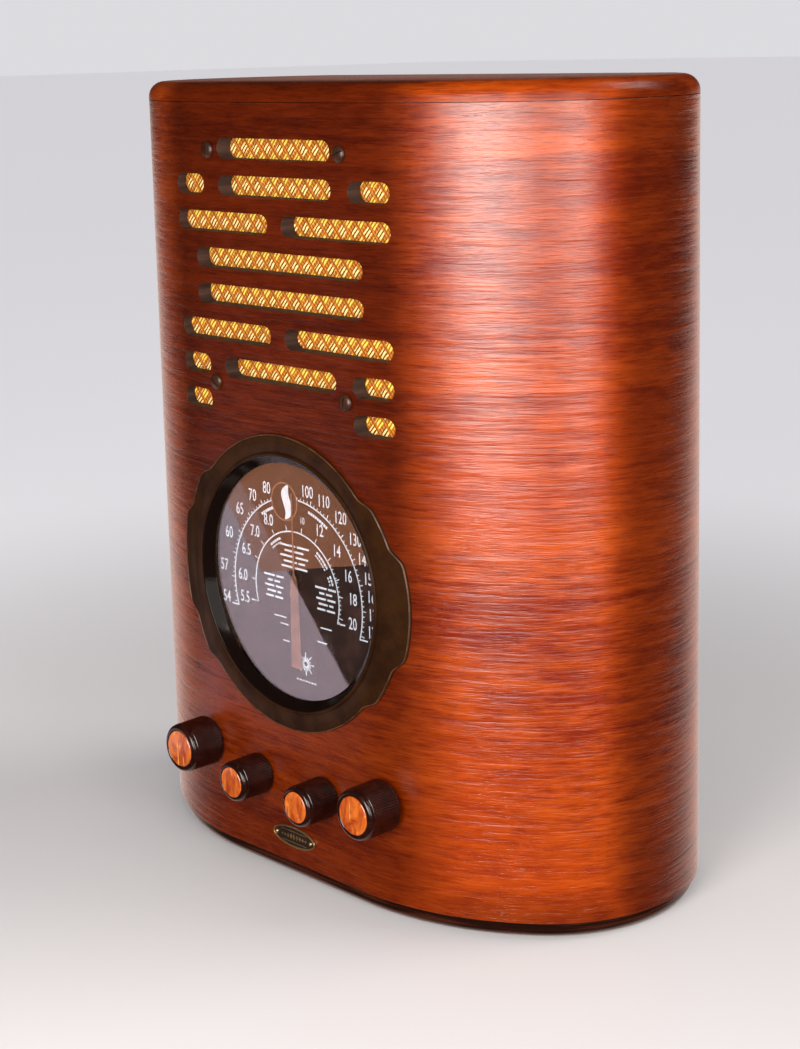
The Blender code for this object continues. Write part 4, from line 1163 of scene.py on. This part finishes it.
def add_panel(name, middle, size, turn, color, strength):
    """A plain rectangular light panel that lies on the floor and only shows in gloss."""
    material = bpy.data.materials.new(name)
    material.use_nodes = True
    shader = material.node_tree.nodes["Principled BSDF"]
    shader.inputs["Base Color"].default_value = (0, 0, 0, 1)
    shader.inputs["Emission Color"].default_value = (*color, 1)
    shader.inputs["Emission Strength"].default_value = strength
    mesh = bpy.data.meshes.new(name)
    mesh.from_pydata(*rectangle(size[0] / 2, size[1] / 2))
    mesh.materials.append(material)
    panel = bpy.data.objects.new(name, mesh)
    panel.location = (*middle, 0.001)
    panel.rotation_euler.z = radians(turn)
    panel.visible_camera = panel.visible_diffuse = panel.visible_shadow = False
    show(panel)


def add_light(name, kind, azimuth, position, aim, energy, color, **settings):
    """A light at a distance and height, aimed at a height over the middle. Azimuth 0 is in front, 90 on the right."""
    data = bpy.data.lights.new(name, kind)
    data.energy = energy
    data.color = color
    for key, value in settings.items():
        setattr(data, key, value)
    distance, height = position
    angle = radians(azimuth)
    light = bpy.data.objects.new(name, data)
    light.location = (sin(angle) * distance, -cos(angle) * distance, height)
    light.rotation_mode = "QUATERNION"
    light.rotation_quaternion = (Vector((0, 0, aim)) - light.location).to_track_quat("-Z", "Y")
    light.visible_camera = False
    show(light)


def make_lights():
    add_light("key", "SUN", 138, (2, 2.2), 0, 1.15, (1.0, 0.95, 0.90), angle=radians(30))
    windows = (("left", 23.0, 0.400, 10.8), ("middle", 51, 0.54, 4.0), ("right", 73.0, 0.200, 3.6))
    for name, azimuth, wide, energy in windows:
        add_light(
            f"{name}_window", "AREA", azimuth, WINDOW_PLACE, WINDOW_PLACE[1], energy, (1.0, 0.97, 0.94),
            shape="RECTANGLE", size=wide, size_y=WINDOW_HEIGHT,
        )
    add_panel("cool_panel", (-0.53, -0.38), (0.80, 0.19), 33, (1.0, 0.80, 0.92), 0.92)
    add_panel("warm_panel", (-0.64, -0.60), (0.50, 0.10), 33, (1.0, 0.40, 0.20), 0.74)


def make_camera():
    turn, pitch, roll = radians(46.29), radians(10.09), radians(-1.39)
    ahead = Vector((-sin(turn) * cos(pitch), cos(turn) * cos(pitch), -sin(pitch)))
    right = Vector((cos(turn), sin(turn), 0))
    up = right.cross(ahead)
    across = cos(roll) * right + sin(roll) * up
    upright = -sin(roll) * right + cos(roll) * up
    data = bpy.data.cameras.new("camera")
    data.lens = 67.435
    data.sensor_width = 36
    data.shift_x = 0.00135
    data.shift_y = -0.1252
    data.clip_start = 0.05
    camera = bpy.data.objects.new("camera", data)
    rows = Matrix((across, upright, -ahead)).transposed()
    camera.matrix_world = Matrix.Translation(EYE) @ rows.to_4x4()
    show(camera)
    bpy.context.scene.camera = camera


def main():
    make_camera()
    make_floor()
    make_surround()
    make_lights()
    LOOKS.update({
        "veneer": veneer_look("veneer"),
        "top": veneer_look("top_veneer", 0.12, 0.25),
        "slot_wall": raw_wood_look("slot_wall", (0.050, 0.018, 0.009), (0.018, 0.006, 0.004)),
        "ply": raw_wood_look("ply", (0.30, 0.17, 0.085), (0.15, 0.075, 0.035)),
        "dark_wood": mottled_look(
            "dark_wood", ((20, 20, 420), 4, 0.6), (0.4, 0.65), (0.010, 0.0025, 0.0012), (0.040, 0.009, 0.004),
            (0.2, 0.16), 0.0001, coat=True, Coat_Weight=0.2, Coat_Roughness=0.12, Specular_IOR_Level=0.25,
        ),
        "cloth": cloth_look(),
        "surround": surround_look(),
        "glass": glass_look("dial_glass", (0.97, 0.98, 0.98), 0.05, 2.0),
        "bulb": bulb_look(),
        "lamp": glass_look("lamp_glass", (0.9, 0.9, 0.85), 0.1),
        "dial": mottled_look(
            "dial_face", (120, 4, 0.6), (0.4, 0.7), (0.010, 0.0045, 0.0036), (0.024, 0.0105, 0.0085),
            (0.3, 0.25), 0.00002, Specular_IOR_Level=0.08,
        ),
        "print": print_look("print", (0.43, 0.46, 0.52), (0.20, 0.20, 0.23)),
        "gold_print": print_look("gold_print", (0.16, 0.065, 0.030), (0.07, 0.027, 0.013)),
        "knob": moulded_look("knob", (0.009, 0.0018, 0.0012), 0.22),
        "bakelite": moulded_look("bakelite", (0.022, 0.009, 0.006), 0.32),
        "amber": amber_look(),
        "laminations": lamination_look(),
        "rubber": mottled_look(
            "rubber", (220, 4, 0.6), (0.4, 0.75), (0.014, 0.013, 0.012), (0.05, 0.047, 0.043), (0.25, 0.55), 0.00005
        ),
        "paper": mottled_look(
            "cone_paper", (700, 4, 0.7), (0.35, 0.7), (0.045, 0.038, 0.032), (0.13, 0.11, 0.09), (0.2, 0.75), 0.0001
        ),
    })
    LOOKS.update({name: worn_metal_look(name, *values) for name, values in METALS.items()})
    make_case()
    make_cloth()
    make_screws()
    make_escutcheon()
    make_dial()
    make_knobs()
    make_nameplate()
    make_valves()
    make_speaker()
    dress_nodes()


main()
